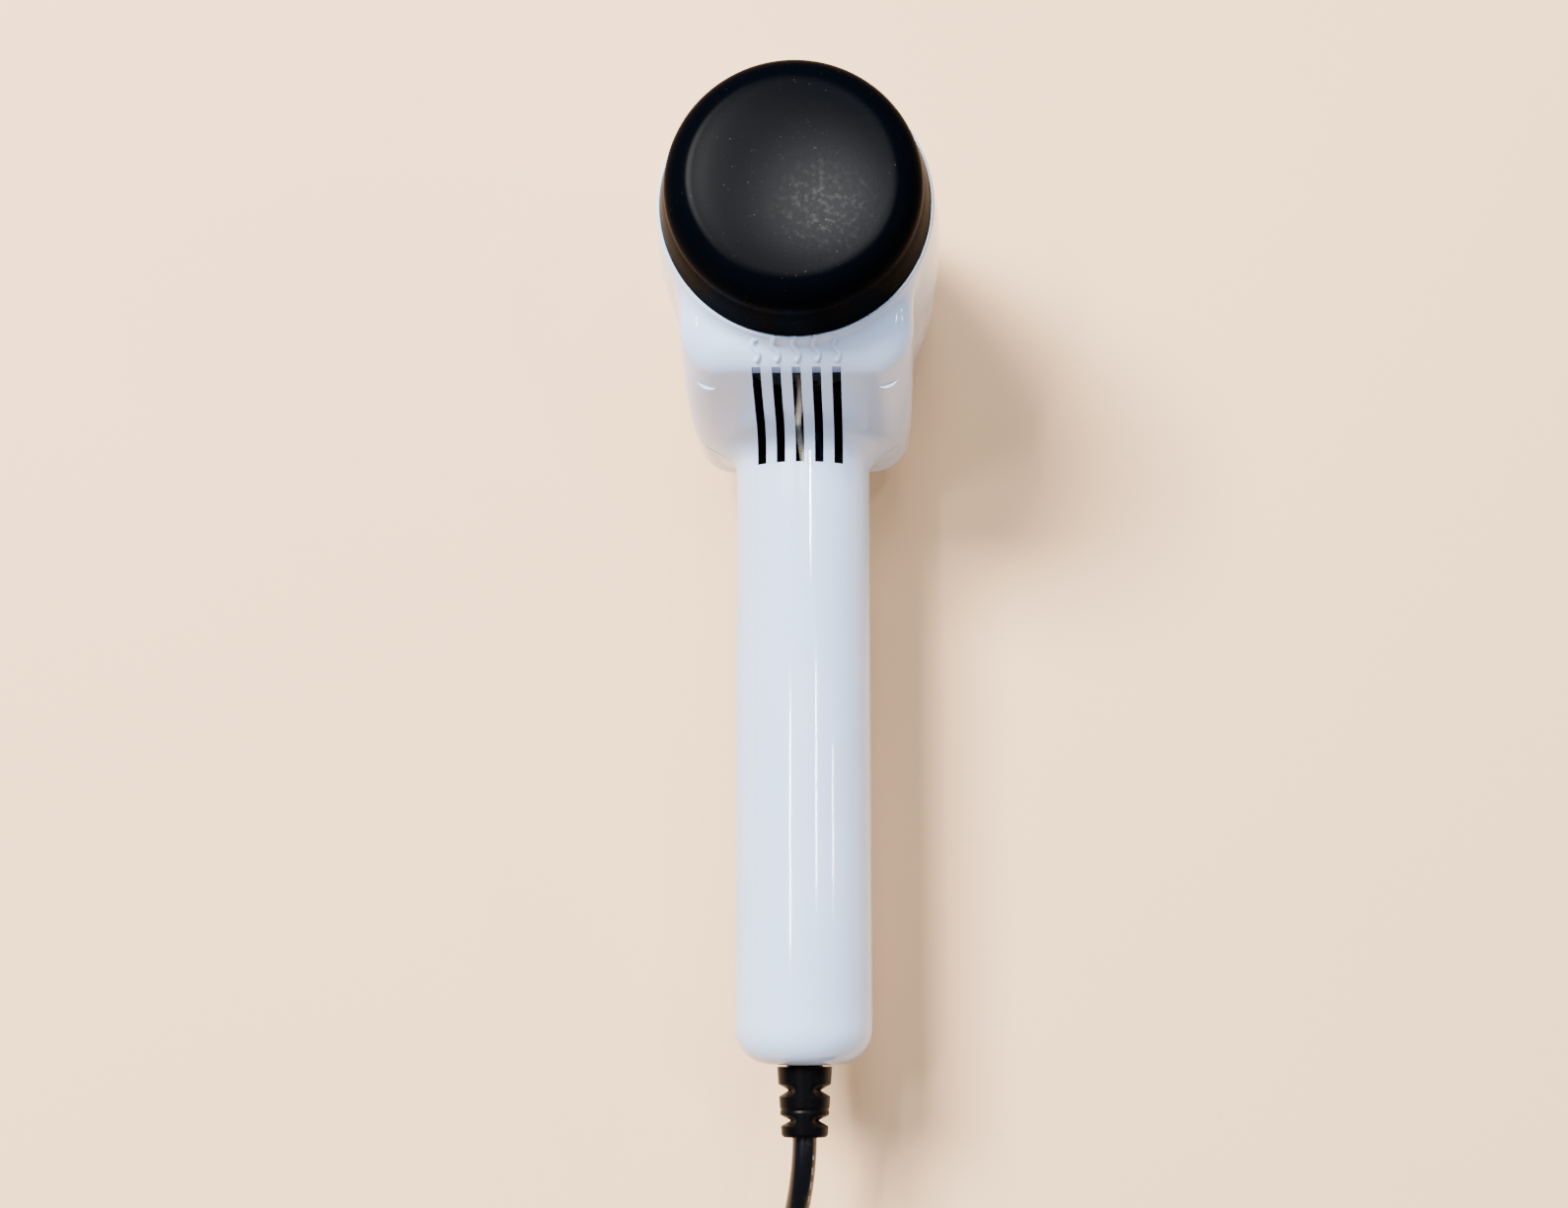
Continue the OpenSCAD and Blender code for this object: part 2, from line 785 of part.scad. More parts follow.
// Flexible sleeve with a flange inside the shell and a necked, tapering outside
module strain_relief() {
    r0 = 6.8;
    r1 = 5.6;
    out = relief_y - exit_y;
    color([0.07, 0.07, 0.08])
        translate([cord_x, relief_y, handle_z])
            rotate([90, 0, 0])
                difference() {
                    rotate_extrude()
                        polygon([[0, -5.4], [6.6, -5.4], [6.6, -3.4], [4.5, -3.4], [4.5, 0], [r0, 0],
                            [r0 - 0.3, 4.6], [r0 - 1.6, 5.4], [r0 - 1.6, 6.6], [r0 - 0.5, 7.4],
                            [r0 - 0.8, 11.4], [r0 - 2, 12.2], [r0 - 2, 13.4], [r1 + 0.1, 14],
                            [r1, out], [0, out]]);
                    translate([0, 0, -10]) cylinder(r = cord_d / 2 + 0.02, h = 40);
                }
}

module heater_lead() {
    color([0.93, 0.9, 0.78])
        sweep([[1, -96, 46], [1, -88, 52], [2, -78, 56], [2.5, -66, 57], [1.8, -57, 57.8], [1.5, -50.5, 58.2],
            [1.2, -46.4, 59.6], [1, -45.2, 63], [0.6, -44.6, 68], [-0.4, -41.4, 75], [-1, -38, 79],
            [-1.2, -35.4, 78], [-1, -34.2, 72], [-0.5, -33.4, 60], [0, -33.4, 46], [0, -32.4, 36],
            [0, -31.2, 32]], lead_r, lead_sides, [1, 0, 0]);
}

module motor_lead() {
    color([0.2, 0.35, 0.7])
        sweep([[4, -90, 47], [6.5, -84, 53], [7, -70, 56], [6.5, -58, 56], [5, -48, 54], [3, -40, 50],
            [2, -34, 47.6], [1.6, -28, 46.4], [2, -22, 45.4], [3, -14, 44.4]], lead_r, lead_sides, [1, 0, 0]);
}

module neutral_lead() {
    color([0.2, 0.35, 0.7])
        sweep([[1.7, -173.5, 46], [6, -168, 51.5], [11, -160, 52], [11.4, -140, 52], [11.4, -120, 52],
            [11, -112, 52], [9, -105, 50], [5, -102.4, 47.4], [2.6, -101.6, 45.6]],
            lead_r, lead_sides, [0, 0, 1]);
}

module live_lead() {
    color([0.45, 0.25, 0.12])
        sweep([[-0.7, -173.5, 46], [-6, -168, 51.5], [-11, -160, 52], [-11.4, -140, 52], [-11.4, -110, 52],
            [-10, -92, 50], [-6, -82, 47.5], [-2.6, -79, 45.6]], lead_r, lead_sides, [0, 0, 1]);
}

module cord_tube() {
    color([0.05, 0.05, 0.06]) sweep(CORD_ROUTE, cord_d / 2, 12, [1, 0, 0]);
}

module cord_tail() {
    color([0.05, 0.05, 0.06]) sweep(TAIL_ROUTE, cord_d / 2, 12, [0, 0, 1]);
}

module cord_coil() {
    color([0.05, 0.05, 0.06])
        translate([coil_c[0], coil_c[1], 0])
            rotate_extrude()
                translate([coil_r, 0])
                    polygon([[-coil_half, coil_edge], [-coil_half + coil_edge, 0],
                        [coil_half - coil_edge, 0], [coil_half, coil_edge],
                        [coil_half, 2 * coil_half - coil_edge], [coil_half - coil_edge, 2 * coil_half],
                        [-coil_half + coil_edge, 2 * coil_half], [-coil_half, 2 * coil_half - coil_edge]]);
}

// A band round the turns, on the side away from the plug
module cord_tie() {
    t = 1.2;
    high = 2 * coil_half;
    color([0.03, 0.03, 0.03])
        translate([coil_c[0], coil_c[1], 0])
            rotate([0, 0, 20])
                translate([coil_r, 0, 0])
                    difference() {
                        translate([-coil_half - t, -5, 0]) cube([high + 2 * t, 10, high + t]);
                        translate([-coil_half - 0.1, -6, t]) cube([high + 0.2, 12, high - t + 0.1]);
                    }
}

// Places a child that is drawn along +Z, from the middle of the plug towards its pins
module at_plug() {
    translate(plug_c) rotate([90, 0, 0]) children();
}

module plug_body() {
    color([0.06, 0.06, 0.07])
        at_plug() {
            intersection() {
                cylinder(r = 18, h = plug_half);
                cube([40, 26, 60], center = true);
            }
            intersection() {
                translate([0, 0, -plug_half]) cylinder(r1 = 7, r2 = 17, h = plug_half + 0.02);
                cube([40, 26, 60], center = true);
            }
        }
}

module plug_relief() {
    color([0.06, 0.06, 0.07])
        at_plug()
            translate([0, 0, -plug_half - plug_relief_len])
                rotate_extrude()
                    polygon([[0, 0], [4.2, 0], [4.6, 3.8], [4, 4.4], [4, 5.4], [4.8, 6], [5, 9.8], [4.2, 10.4],
                        [4.2, 11.4], [5.2, 12], [5.4, plug_relief_len - 0.02], [0, plug_relief_len - 0.02]]);
}

module plug_pins() {
    color("gainsboro")
        at_plug()
            for (s = [-1, 1])
                translate([s * pin_pitch / 2, 0, plug_half + 0.02]) cylinder(r = pin_r, h = pin_len);
}

rear_shell();
front_shell();
rear_cap();
outlet_grille();
shell_screws();
fan_duct();
motor_can();
motor_magnets();
brush_plate();
carbon_brushes();
front_bushing();
rear_bushing();
motor_screws();
motor_shaft();
armature();
windings();
commutator();
fan();
fan_bush();
mica_sleeve();
mica_cross();
heater_coils();
thermal_cutout();
thermal_fuse();
rectifier();
noise_capacitor();
motor_chokes();
switch_plate();
speed_switch();
speed_slider();
heat_switch();
heat_slider();
cool_switch();
cool_button();
cool_spring();
cord_clamp();
clamp_screws();
cord_core();
strain_relief();
heater_lead();
motor_lead();
neutral_lead();
live_lead();
cord_tube();
cord_coil();
cord_tail();
cord_tie();
plug_body();
plug_relief();
plug_pins();
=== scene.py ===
"""Hair dryer that stands on its outlet rim, with its cord, coil and plug.

Lengths inside the classes are millimetres in the shared frame: the origin is the centre of the
outlet rim, +Z runs along the barrel to the rear cap and -Y along the handle. Every mesh is
turned into metres when it becomes an object.
"""

import json
import logging
import math
from dataclasses import dataclass
from enum import Enum
from typing import Callable, Sequence

import bmesh
import bpy
import numpy as np
from mathutils import Matrix, Vector


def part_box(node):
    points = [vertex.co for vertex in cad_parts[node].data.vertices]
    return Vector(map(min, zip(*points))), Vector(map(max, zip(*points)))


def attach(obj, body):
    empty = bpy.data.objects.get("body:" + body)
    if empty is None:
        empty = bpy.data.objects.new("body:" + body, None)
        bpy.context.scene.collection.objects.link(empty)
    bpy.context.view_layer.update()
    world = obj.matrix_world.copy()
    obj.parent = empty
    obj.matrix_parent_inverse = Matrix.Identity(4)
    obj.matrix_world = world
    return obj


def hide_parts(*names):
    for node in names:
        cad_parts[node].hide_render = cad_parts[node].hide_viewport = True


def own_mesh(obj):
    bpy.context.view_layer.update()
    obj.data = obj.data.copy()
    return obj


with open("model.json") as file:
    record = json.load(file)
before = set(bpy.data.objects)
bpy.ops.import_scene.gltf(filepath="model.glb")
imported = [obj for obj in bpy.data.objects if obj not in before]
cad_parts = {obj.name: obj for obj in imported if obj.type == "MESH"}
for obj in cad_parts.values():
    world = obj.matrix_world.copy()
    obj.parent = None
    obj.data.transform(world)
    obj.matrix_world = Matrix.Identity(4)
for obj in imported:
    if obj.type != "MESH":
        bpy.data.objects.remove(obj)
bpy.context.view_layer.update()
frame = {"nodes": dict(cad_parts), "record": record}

MM = 0.001
TURN = 2 * math.pi
MERGE = 1e-6  # points closer than this, in metres, are one
BEVEL_STEPS = 2
SECTOR_STEPS = 14
BEVEL_ABOVE = 35.0  # edges sharper than this, in degrees, are rounded
LOG = logging.getLogger("hair_dryer")

Point = Sequence[float]
Colour = tuple[float, float, float]


def box_mm(node: str) -> tuple[np.ndarray, np.ndarray]:
    """Gives a node's box in millimetres.

    Args:
        node: the CAD node's name.

    Returns:
        Its lowest and its highest corner.
    """
    low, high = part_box(node)
    return np.array(low) / MM, np.array(high) / MM


# ---------------------------------------------------------------- node trees


class Sock:
    """A node's output on which arithmetic can be written; each operator adds a Math node."""

    def __init__(self, tree: "Tree", socket: bpy.types.NodeSocket) -> None:
        """Wraps one output socket of a tree."""
        self.tree = tree
        self.socket = socket

    def math(self, operation: str, *others: "Sock | float", flip: bool = False) -> "Sock":
        """Adds one Math node.

        Args:
            operation: the node's operation, such as MULTIPLY.
            others: the other values, in order.
            flip: whether this value comes after the first of the others.

        Returns:
            The node's result.
        """
        values = [others[0], self, *others[1:]] if flip else [self, *others]
        node = self.tree.add("ShaderNodeMath", {"operation": operation}, dict(enumerate(values)))
        return self.tree.out(node, 0)

    def __add__(self, other: "Sock | float") -> "Sock":
        """Sum."""
        return self.math("ADD", other)

    def __radd__(self, other: float) -> "Sock":
        """Sum with a number on the left."""
        return self.math("ADD", other)

    def __sub__(self, other: "Sock | float") -> "Sock":
        """Difference."""
        return self.math("SUBTRACT", other)

    def __rsub__(self, other: float) -> "Sock":
        """Difference with a number on the left."""
        return self.math("SUBTRACT", other, flip=True)

    def __mul__(self, other: "Sock | float") -> "Sock":
        """Product."""
        return self.math("MULTIPLY", other)

    def __rmul__(self, other: float) -> "Sock":
        """Product with a number on the left."""
        return self.math("MULTIPLY", other)

    def __truediv__(self, other: "Sock | float") -> "Sock":
        """Quotient."""
        return self.math("DIVIDE", other)

    def step(self, low: float, high: float) -> "Sock":
        """Rises smoothly from 0 to 1 between two values.

        Args:
            low: the value at which the result is 0.
            high: the value at which the result is 1.

        Returns:
            The smooth step.
        """
        node = self.tree.add(
            "ShaderNodeMapRange",
            {"interpolation_type": "SMOOTHSTEP"},
            {"Value": self, "From Min": low, "From Max": high},
        )
        return self.tree.out(node, 0)


class Tree:
    """A node tree with one method that adds any node."""

    def __init__(self, group: bpy.types.NodeTree) -> None:
        """Keeps the tree and empties it."""
        self.group = group
        self.group.nodes.clear()

    def add(
        self, kind: str, settings: dict | None = None, values: dict | None = None
    ) -> bpy.types.Node:
        """Adds a node, sets it and feeds it.

        Args:
            kind: the node's type.
            settings: its properties, which are set first.
            values: what goes into its sockets, by name or by number: a number, a colour or a Sock.

        Returns:
            The node.
        """
        node = self.group.nodes.new(kind)
        for key, value in (settings or {}).items():
            setattr(node, key, value)
        for key, value in (values or {}).items():
            if isinstance(value, Sock):
                self.group.links.new(value.socket, node.inputs[key])
            else:
                node.inputs[key].default_value = value
        return node

    def out(self, node: bpy.types.Node, key: str | int = 0) -> Sock:
        """Wraps one output of a node."""
        return Sock(self, node.outputs[key])


class Paint(Tree):
    """A material's node tree, with the few patterns that the finishes share."""

    # a colour Mix node's sockets, which have numbers because its names stand for several kinds
    MIX_SHARE, MIX_FIRST, MIX_SECOND, MIX_RESULT = 0, 6, 7, 2

    def __init__(self, name: str) -> None:
        """Starts a material with one Principled shader."""
        self.material = bpy.data.materials.new(name)
        self.material.use_nodes = True
        super().__init__(self.material.node_tree)
        self.shader = self.add("ShaderNodeBsdfPrincipled")
        end = self.add("ShaderNodeOutputMaterial")
        self.group.links.new(self.shader.outputs[0], end.inputs["Surface"])
        self.place = self.out(self.add("ShaderNodeTexCoord"), "Object")

    def stretched(self, scale: Point, at: Point = (0, 0, 0)) -> Sock:
        """Object coordinates, centred on a point in millimetres and scaled along each axis."""
        centre = [c * MM for c in at]
        moved = self.add(
            "ShaderNodeVectorMath", {"operation": "SUBTRACT"}, {0: self.place, 1: centre}
        )
        values = {0: self.out(moved), 1: scale}
        return self.out(self.add("ShaderNodeVectorMath", {"operation": "MULTIPLY"}, values))

    def noise(self, size: float, detail: float = 2.0, where: Sock | None = None) -> Sock:
        """Noise whose features are about size millimetres across.

        Args:
            size: the feature size.
            detail: how many finer octaves it has.
            where: the coordinates, if they aren't the object's own.

        Returns:
            A value round 0.5.
        """
        values = {"Vector": where or self.place, "Scale": 1 / (size * MM), "Detail": detail}
        return self.out(self.add("ShaderNodeTexNoise", {}, values), 0)

    def axis(self, letter: str) -> Sock:
        """One object coordinate, in millimetres."""
        return self.out(self.add("ShaderNodeSeparateXYZ", {}, {0: self.place}), letter) * (1 / MM)

    def blend(self, share: "Sock | float", first: "Sock | Colour", second: "Sock | Colour") -> Sock:
        """Mixes two colours.

        Args:
            share: 0 for the first colour, 1 for the second.
            first: a colour or a colour output.
            second: a colour or a colour output.

        Returns:
            The mixed colour.
        """
        colours = [c if isinstance(c, Sock) else (*c, 1.0) for c in (first, second)]
        values = {self.MIX_SHARE: share, self.MIX_FIRST: colours[0], self.MIX_SECOND: colours[1]}
        node = self.add("ShaderNodeMix", {"data_type": "RGBA"}, values)
        return self.out(node, self.MIX_RESULT)

    def bump(self, height: Sock, depth: float, strength: float = 1.0) -> Sock:
        """Turns a height into a normal; depth is what a height of 1 stands for, in millimetres."""
        values = {"Height": height, "Distance": depth * MM, "Strength": strength}
        return self.out(self.add("ShaderNodeBump", {}, values))

    def close(self, **values: "Sock | float | tuple") -> bpy.types.Material:
        """Feeds the shader; an underscore in a name stands for a space."""
        for key, value in values.items():
            socket = self.shader.inputs[key.replace("_", " ")]
            if isinstance(value, Sock):
                self.group.links.new(value.socket, socket)
            elif isinstance(value, tuple):
                socket.default_value = (*value, 1.0)[: len(socket.default_value)]
            else:
                socket.default_value = value
        return self.material


class Maker(Tree):
    """A Geometry Nodes tree with named sizes, which is run once and leaves a plain mesh."""

    def __init__(self, name: str, sizes: dict[str, float | int]) -> None:
        """Starts a tree.

        Args:
            name: the tree's name.
            sizes: its named inputs with the values that they start at.
        """
        super().__init__(bpy.data.node_groups.new(name, "GeometryNodeTree"))
        face = self.group.interface
        face.new_socket("Geometry", in_out="INPUT", socket_type="NodeSocketGeometry")
        face.new_socket("Geometry", in_out="OUTPUT", socket_type="NodeSocketGeometry")
        for key, value in sizes.items():
            kind = "NodeSocketInt" if isinstance(value, int) else "NodeSocketFloat"
            face.new_socket(key, in_out="INPUT", socket_type=kind).default_value = value
        self.start = self.add("NodeGroupInput")

    def size(self, key: str) -> Sock:
        """One named input."""
        return self.out(self.start, key)

    def index(self) -> Sock:
        """The number of the point that a field is read at."""
        return self.out(self.add("GeometryNodeInputIndex"))

    def vector(self, x: "Sock | float", y: "Sock | float", z: "Sock | float") -> Sock:
        """A vector of three values."""
        return self.out(self.add("ShaderNodeCombineXYZ", {}, {0: x, 1: y, 2: z}))

    def repeat(self, places: Sock, unit: Sock, scale: Sock | None = None) -> Sock:
        """Sets a copy of unit on each point of places."""
        values = {"Points": places, "Instance": unit}
        if scale:
            values["Scale"] = scale
        return self.out(self.add("GeometryNodeInstanceOnPoints", {}, values))

    def realized(self, geometry: Sock) -> Sock:
        """Turns copies into real geometry."""
        return self.out(self.add("GeometryNodeRealizeInstances", {}, {"Geometry": geometry}))

    def shape_of(self, thing: bpy.types.Object) -> Sock:
        """Another object's geometry."""
        return self.out(self.add("GeometryNodeObjectInfo", {}, {"Object": thing}), "Geometry")

    def row(
        self, count: "Sock | int", offset: Sock | None = None, start: Sock | None = None
    ) -> Sock:
        """A row of points.

        Args:
            count: how many points it has.
            offset: the way from each point to the next.
            start: the first point, if it isn't the origin.

        Returns:
            The row.
        """
        values = {"Count": count, "Offset": offset, "Start Location": start}
        given = {key: value for key, value in values.items() if value is not None}
        return self.out(self.add("GeometryNodeMeshLine", {}, given))

    def centred_row(self, count: Sock, pitch: Sock, axis: str) -> Sock:
        """A row of points along X or Y whose middle is the origin."""
        first = (count - 1) * pitch * -0.5
        start, offset = [(v, 0, 0) if axis == "X" else (0, v, 0) for v in (first, pitch)]
        return self.row(count, self.vector(*offset), self.vector(*start))

    def placed(self, geometry: Sock, place: Sock) -> Sock:
        """Sets the position of each point of a geometry."""
        values = {"Geometry": geometry, "Position": place}
        return self.out(self.add("GeometryNodeSetPosition", {}, values))

    def sweep(self, line: Sock, radius: Sock, sides: int) -> Sock:
        """A round wire along mesh lines, with closed ends."""
        curve = self.out(self.add("GeometryNodeMeshToCurve", {}, {"Mesh": line}))
        values = {"Resolution": sides, "Radius": radius}
        profile = self.out(self.add("GeometryNodeCurvePrimitiveCircle", {}, values))
        values = {"Curve": curve, "Profile Curve": profile, "Fill Caps": True}
        return self.out(self.add("GeometryNodeCurveToMesh", {}, values))

    def wire(self, count: Sock, place: Sock, radius: Sock, sides: int) -> Sock:
        """A round wire through points that a formula places.

        Args:
            count: how many points it has.
            place: each point's position, a field on its index.
            radius: the wire's radius in metres.
            sides: how many sides the wire has.

        Returns:
            The wire's surface, with closed ends.
        """
        return self.sweep(self.placed(self.row(count), place), radius, sides)

    def close(self, geometry: Sock, material: bpy.types.Material) -> "Maker":
        """Ends the tree in Realize Instances and Set Material."""
        values = {"Geometry": self.realized(geometry), "Material": material}
        dressed = self.add("GeometryNodeSetMaterial", {}, values)
        self.add("NodeGroupOutput", {}, {0: self.out(dressed)})
        return self

    def run(
        self, name: str, start: "Solid | None" = None, **sizes: float | int
    ) -> bpy.types.Object:
        """Runs the tree and keeps its result as a plain mesh.

        Args:
            name: the new object's name.
            start: the geometry that goes in, if any.
            sizes: values for the named inputs.

        Returns:
            The object, with no modifier left.
        """
        thing = link(name, (start or Solid(np.zeros((1, 3)), [])).mesh(name))
        modifier = thing.modifiers.new("make", "NODES")
        modifier.node_group = self.group
        for item in self.group.interface.items_tree:
            if item.in_out == "INPUT" and item.name in sizes:
                modifier[item.identifier] = sizes[item.name]
        return settle(thing)


# ---------------------------------------------------------------- meshes


def link(name: str, mesh: bpy.types.Mesh) -> bpy.types.Object:
    """Makes an object of a mesh and puts it in the scene."""
    thing = bpy.data.objects.new(name, mesh)
    bpy.context.scene.collection.objects.link(thing)
    return thing


def settle(thing: bpy.types.Object) -> bpy.types.Object:
    """Turns an object with modifiers into a plain mesh.

    Args:
        thing: the object.

    Returns:
        The same object, without its modifiers.
    """
    bpy.context.view_layer.update()
    done = thing.evaluated_get(bpy.context.evaluated_depsgraph_get())
    mesh = bpy.data.meshes.new_from_object(done)
    mesh.name = thing.name
    thing.modifiers.clear()
    thing.data = mesh
    return thing


def shade(thing: bpy.types.Object, angle: float = 32.0) -> bpy.types.Object:
    """Shades a mesh smooth, with sharp edges above an angle in degrees."""
    thing.data.shade_smooth()
    thing.data.set_sharp_from_angle(angle=math.radians(angle))
    return thing


@dataclass
class Solid:
    """Vertices in millimetres and faces, before they become an object."""

    verts: np.ndarray
    faces: list[tuple[int, ...]]

    def __add__(self, other: "Solid") -> "Solid":
        """Both solids as one."""
        shift = len(self.verts)
        moved = [tuple(i + shift for i in f) for f in other.faces]
        return Solid(np.vstack([self.verts, other.verts]), self.faces + moved)

    def moved(self, by: Point) -> "Solid":
        """The solid moved by a vector in millimetres."""
        return Solid(self.verts + np.array(by, float), self.faces)

    def turned(self, degrees: float, axis: str) -> "Solid":
        """The solid turned about an axis through the origin."""
        turn = np.array(Matrix.Rotation(math.radians(degrees), 3, axis))
        return Solid(self.verts @ turn.T, self.faces)

    def mesh(self, name: str) -> bpy.types.Mesh:
        """The solid as a mesh in metres."""
        mesh = bpy.data.meshes.new(name)
        mesh.from_pydata((self.verts * MM).tolist(), [], self.faces)
        return mesh

    def piece(
        self, name: str, material: bpy.types.Material, bevel: float = 0.0, angle: float = 32.0
    ) -> bpy.types.Object:
        """The solid as a dressed object.

        Args:
            name: the object's name.
            material: its finish.
            bevel: the width of its rounded edges in millimetres, or 0.
            angle: edges above this many degrees stay sharp.

        Returns:
            The object.
        """
        thing = link(name, self.mesh(name))
        outward(thing.data)
        thing.data.materials.append(material)
        if bevel:
            edge = thing.modifiers.new("edge", "BEVEL")
            edge.width = bevel * MM
            edge.segments = BEVEL_STEPS
            edge.angle_limit = math.radians(BEVEL_ABOVE)
            settle(thing)
        return shade(thing, angle)


def outward(mesh: bpy.types.Mesh) -> None:
    """Merges a mesh's doubles and points its faces outwards."""
    raw = bmesh.new()
    raw.from_mesh(mesh)
    bmesh.ops.remove_doubles(raw, verts=raw.verts, dist=MERGE)
    bmesh.ops.recalc_face_normals(raw, faces=raw.faces)
    raw.to_mesh(mesh)
    raw.free()


def together(solids: Sequence[Solid]) -> Solid:
    """All the solids as one."""
    return sum(solids, Solid(np.zeros((0, 3)), []))


def lathe(profile: Sequence[Point], segments: int = 96) -> Solid:
    """Turns a closed profile about the Z axis.

    Args:
        profile: points (radius, z); a radius of 0 is a pole.
        segments: steps round the axis.

    Returns:
        A closed solid.
    """
    angles = [TURN * k / segments for k in range(segments)]
    rows, verts = [], []
    for radius, z in profile:
        pole = radius < 1e-6
        rows.append([len(verts) + (0 if pole else k) for k in range(segments)])
        verts += [(radius * math.cos(a), radius * math.sin(a), z)
                  for a in (angles[:1] if pole else angles)]
    faces = []
    for a, b in zip(rows, rows[1:] + rows[:1]):
        for k in range(segments):
            m = (k + 1) % segments
            face = tuple(dict.fromkeys((a[k], a[m], b[m], b[k])))
            if len(face) > 2:
                faces.append(face)
    return Solid(np.array(verts, float), faces)


def brick(low: Point, high: Point) -> Solid:
    """A box between two corners."""
    xs, ys, zs = zip(low, high)
    verts = [(x, y, z) for x in xs for y in ys for z in zs]
    faces = [(0, 1, 3, 2), (4, 6, 7, 5), (0, 4, 5, 1), (2, 3, 7, 6), (0, 2, 6, 4), (1, 5, 7, 3)]
    return Solid(np.array(verts, float), faces)


def sector(
    inner: float, outer: float, low: float, high: float, centre: float, spread: float
) -> Solid:
    """A piece of a ring, between two radii and two heights.

    Args:
        inner: its inner radius.
        outer: its outer radius.
        low: its lower height.
        high: its upper height.
        centre: the azimuth of its middle, in degrees.
        spread: the angle that it takes up, in degrees.

    Returns:
        A closed solid.
    """
    angles = np.radians(np.linspace(centre - spread / 2, centre + spread / 2, SECTOR_STEPS))
    corners = [(inner, low), (outer, low), (outer, high), (inner, high)]
    verts = [(r * math.cos(a), r * math.sin(a), z) for a in angles for r, z in corners]
    faces = [(4 * i + k, 4 * i + (k + 1) % 4, 4 * i + 4 + (k + 1) % 4, 4 * i + 4 + k)
             for i in range(len(angles) - 1) for k in range(4)]
    last = len(verts) - 4
    faces += [(0, 3, 2, 1), (last, last + 1, last + 2, last + 3)]
    return Solid(np.array(verts, float), faces)


def loft(rings: Sequence[np.ndarray]) -> Solid:
    """Joins closed rings of points, one after another, and closes both ends."""
    sides = len(rings[0])
    faces = [(i * sides + k, i * sides + (k + 1) % sides, (i + 1) * sides + (k + 1) % sides,
              (i + 1) * sides + k) for i in range(len(rings) - 1) for k in range(sides)]
    last = (len(rings) - 1) * sides
    faces += [tuple(range(sides - 1, -1, -1)), tuple(range(last, last + sides))]
    return Solid(np.vstack(rings), faces)


def smooth_route(points: np.ndarray, step: float) -> np.ndarray:
    """A smooth curve through points.

    Args:
        points: the points that it passes.
        step: about how far apart its own points lie.

    Returns:
        Its points, on a Catmull-Rom spline.
    """
    ends = np.vstack([2 * points[0] - points[1], points, 2 * points[-1] - points[-2]])
    made = []
    for a, b, c, d in zip(ends, ends[1:], ends[2:], ends[3:]):
        count = max(2, round(float(np.linalg.norm(c - b)) / step))
        t = (np.arange(count) / count)[:, None]
        made.append(0.5 * (2 * b + (c - a) * t + (2 * a - 5 * b + 4 * c - d) * t**2
                           + (3 * b - a - 3 * c + d) * t**3))
    return np.vstack([*made, points[-1:]])


def tube(line: np.ndarray, radius: float, sides: int = 12) -> tuple[Solid, np.ndarray]:
    """A round bar along a line, with rings that don't twist.

    Args:
        line: the points that it follows.
        radius: its radius.
        sides: how many sides it has.

    Returns:
        The bar, and for each vertex the length along the line in metres and the share of a turn
        round it.
    """
    run = np.gradient(line, axis=0)
    run /= np.linalg.norm(run, axis=1)[:, None]
    side = np.cross(run[0], (0, 0, 1.0))
    side /= np.linalg.norm(side)
    length = np.concatenate([[0], np.cumsum(np.linalg.norm(np.diff(line, axis=0), axis=1))]) * MM
    rings, marks = [], []
    shares = np.arange(sides) / sides
    across, upward = np.cos(TURN * shares)[:, None], np.sin(TURN * shares)[:, None]
    for point, ahead, along in zip(line, run, length):
        side = side - ahead * (side @ ahead)
        side /= np.linalg.norm(side)
        up = np.cross(side, ahead)
        rings.append(point + radius * (across * side + upward * up))
        marks.append(np.column_stack([np.full(sides, along), shares]))
    return loft(rings), np.vstack(marks)


def merged(name: str, parts: Sequence[bpy.types.Object]) -> bpy.types.Object:
    """Joins objects into one plain mesh object.

    Args:
        name: the new object's name.
        parts: the objects, which are removed.

    Returns:
        The joined object.
    """
    raw = bmesh.new()
    for part in parts:
        raw.from_mesh(part.data)
    mesh = bpy.data.meshes.new(name)
    raw.to_mesh(mesh)
    raw.free()
    mesh.materials.append(parts[0].data.materials[0])
    for part in parts:
        bpy.data.objects.remove(part)
    return shade(link(name, mesh), 40)


class Join(Enum):
    """How a solid meets the mesh that it is worked into."""

    CUT = "DIFFERENCE"
    ADD = "UNION"


def work(thing: bpy.types.Object, steps: Sequence[tuple[Join, Solid]]) -> bpy.types.Object:
    """Cuts solids from a mesh and adds others to it.

    Args:
        thing: the object that is worked on.
        steps: what is cut or added, in order.

    Returns:
        The same object.
    """
    for join, solid in steps:
        tool = link("tool", solid.mesh("tool"))
        outward(tool.data)
        modifier = thing.modifiers.new("work", "BOOLEAN")
        modifier.operation = join.value
        modifier.solver = "MANIFOLD"
        modifier.object = tool
        settle(thing)
        bpy.data.objects.remove(tool)
    return thing


def put(thing: bpy.types.Object, body: str, slot: str, *nodes: str) -> bpy.types.Object:
    """Rides a piece on a body, hides the CAD nodes that it replaces, and reports it.

    Args:
        thing: the finished piece.
        body: the CAD body that it moves with.
        slot: its material slot in the record; not used.
        nodes: the CAD nodes that it replaces.

    Returns:
        The piece.
    """
    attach(thing, body)
    if nodes:
        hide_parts(*nodes)
    faces = len(thing.data.polygons) if thing.type == "MESH" else 0
    LOG.info("%s: %d faces, on %s, for %s", thing.name, faces, body, ", ".join(nodes) or "itself")
    return thing


# ---------------------------------------------------------------- finishes


class Grain(Enum):
    """The fine surface of a plain finish."""

    MOULDED = "moulded"
    TURNED = "turned"
    BRUSHED = "brushed"
    WOVEN = "woven"
    FLAKY = "flaky"
    LAYERED = "layered"


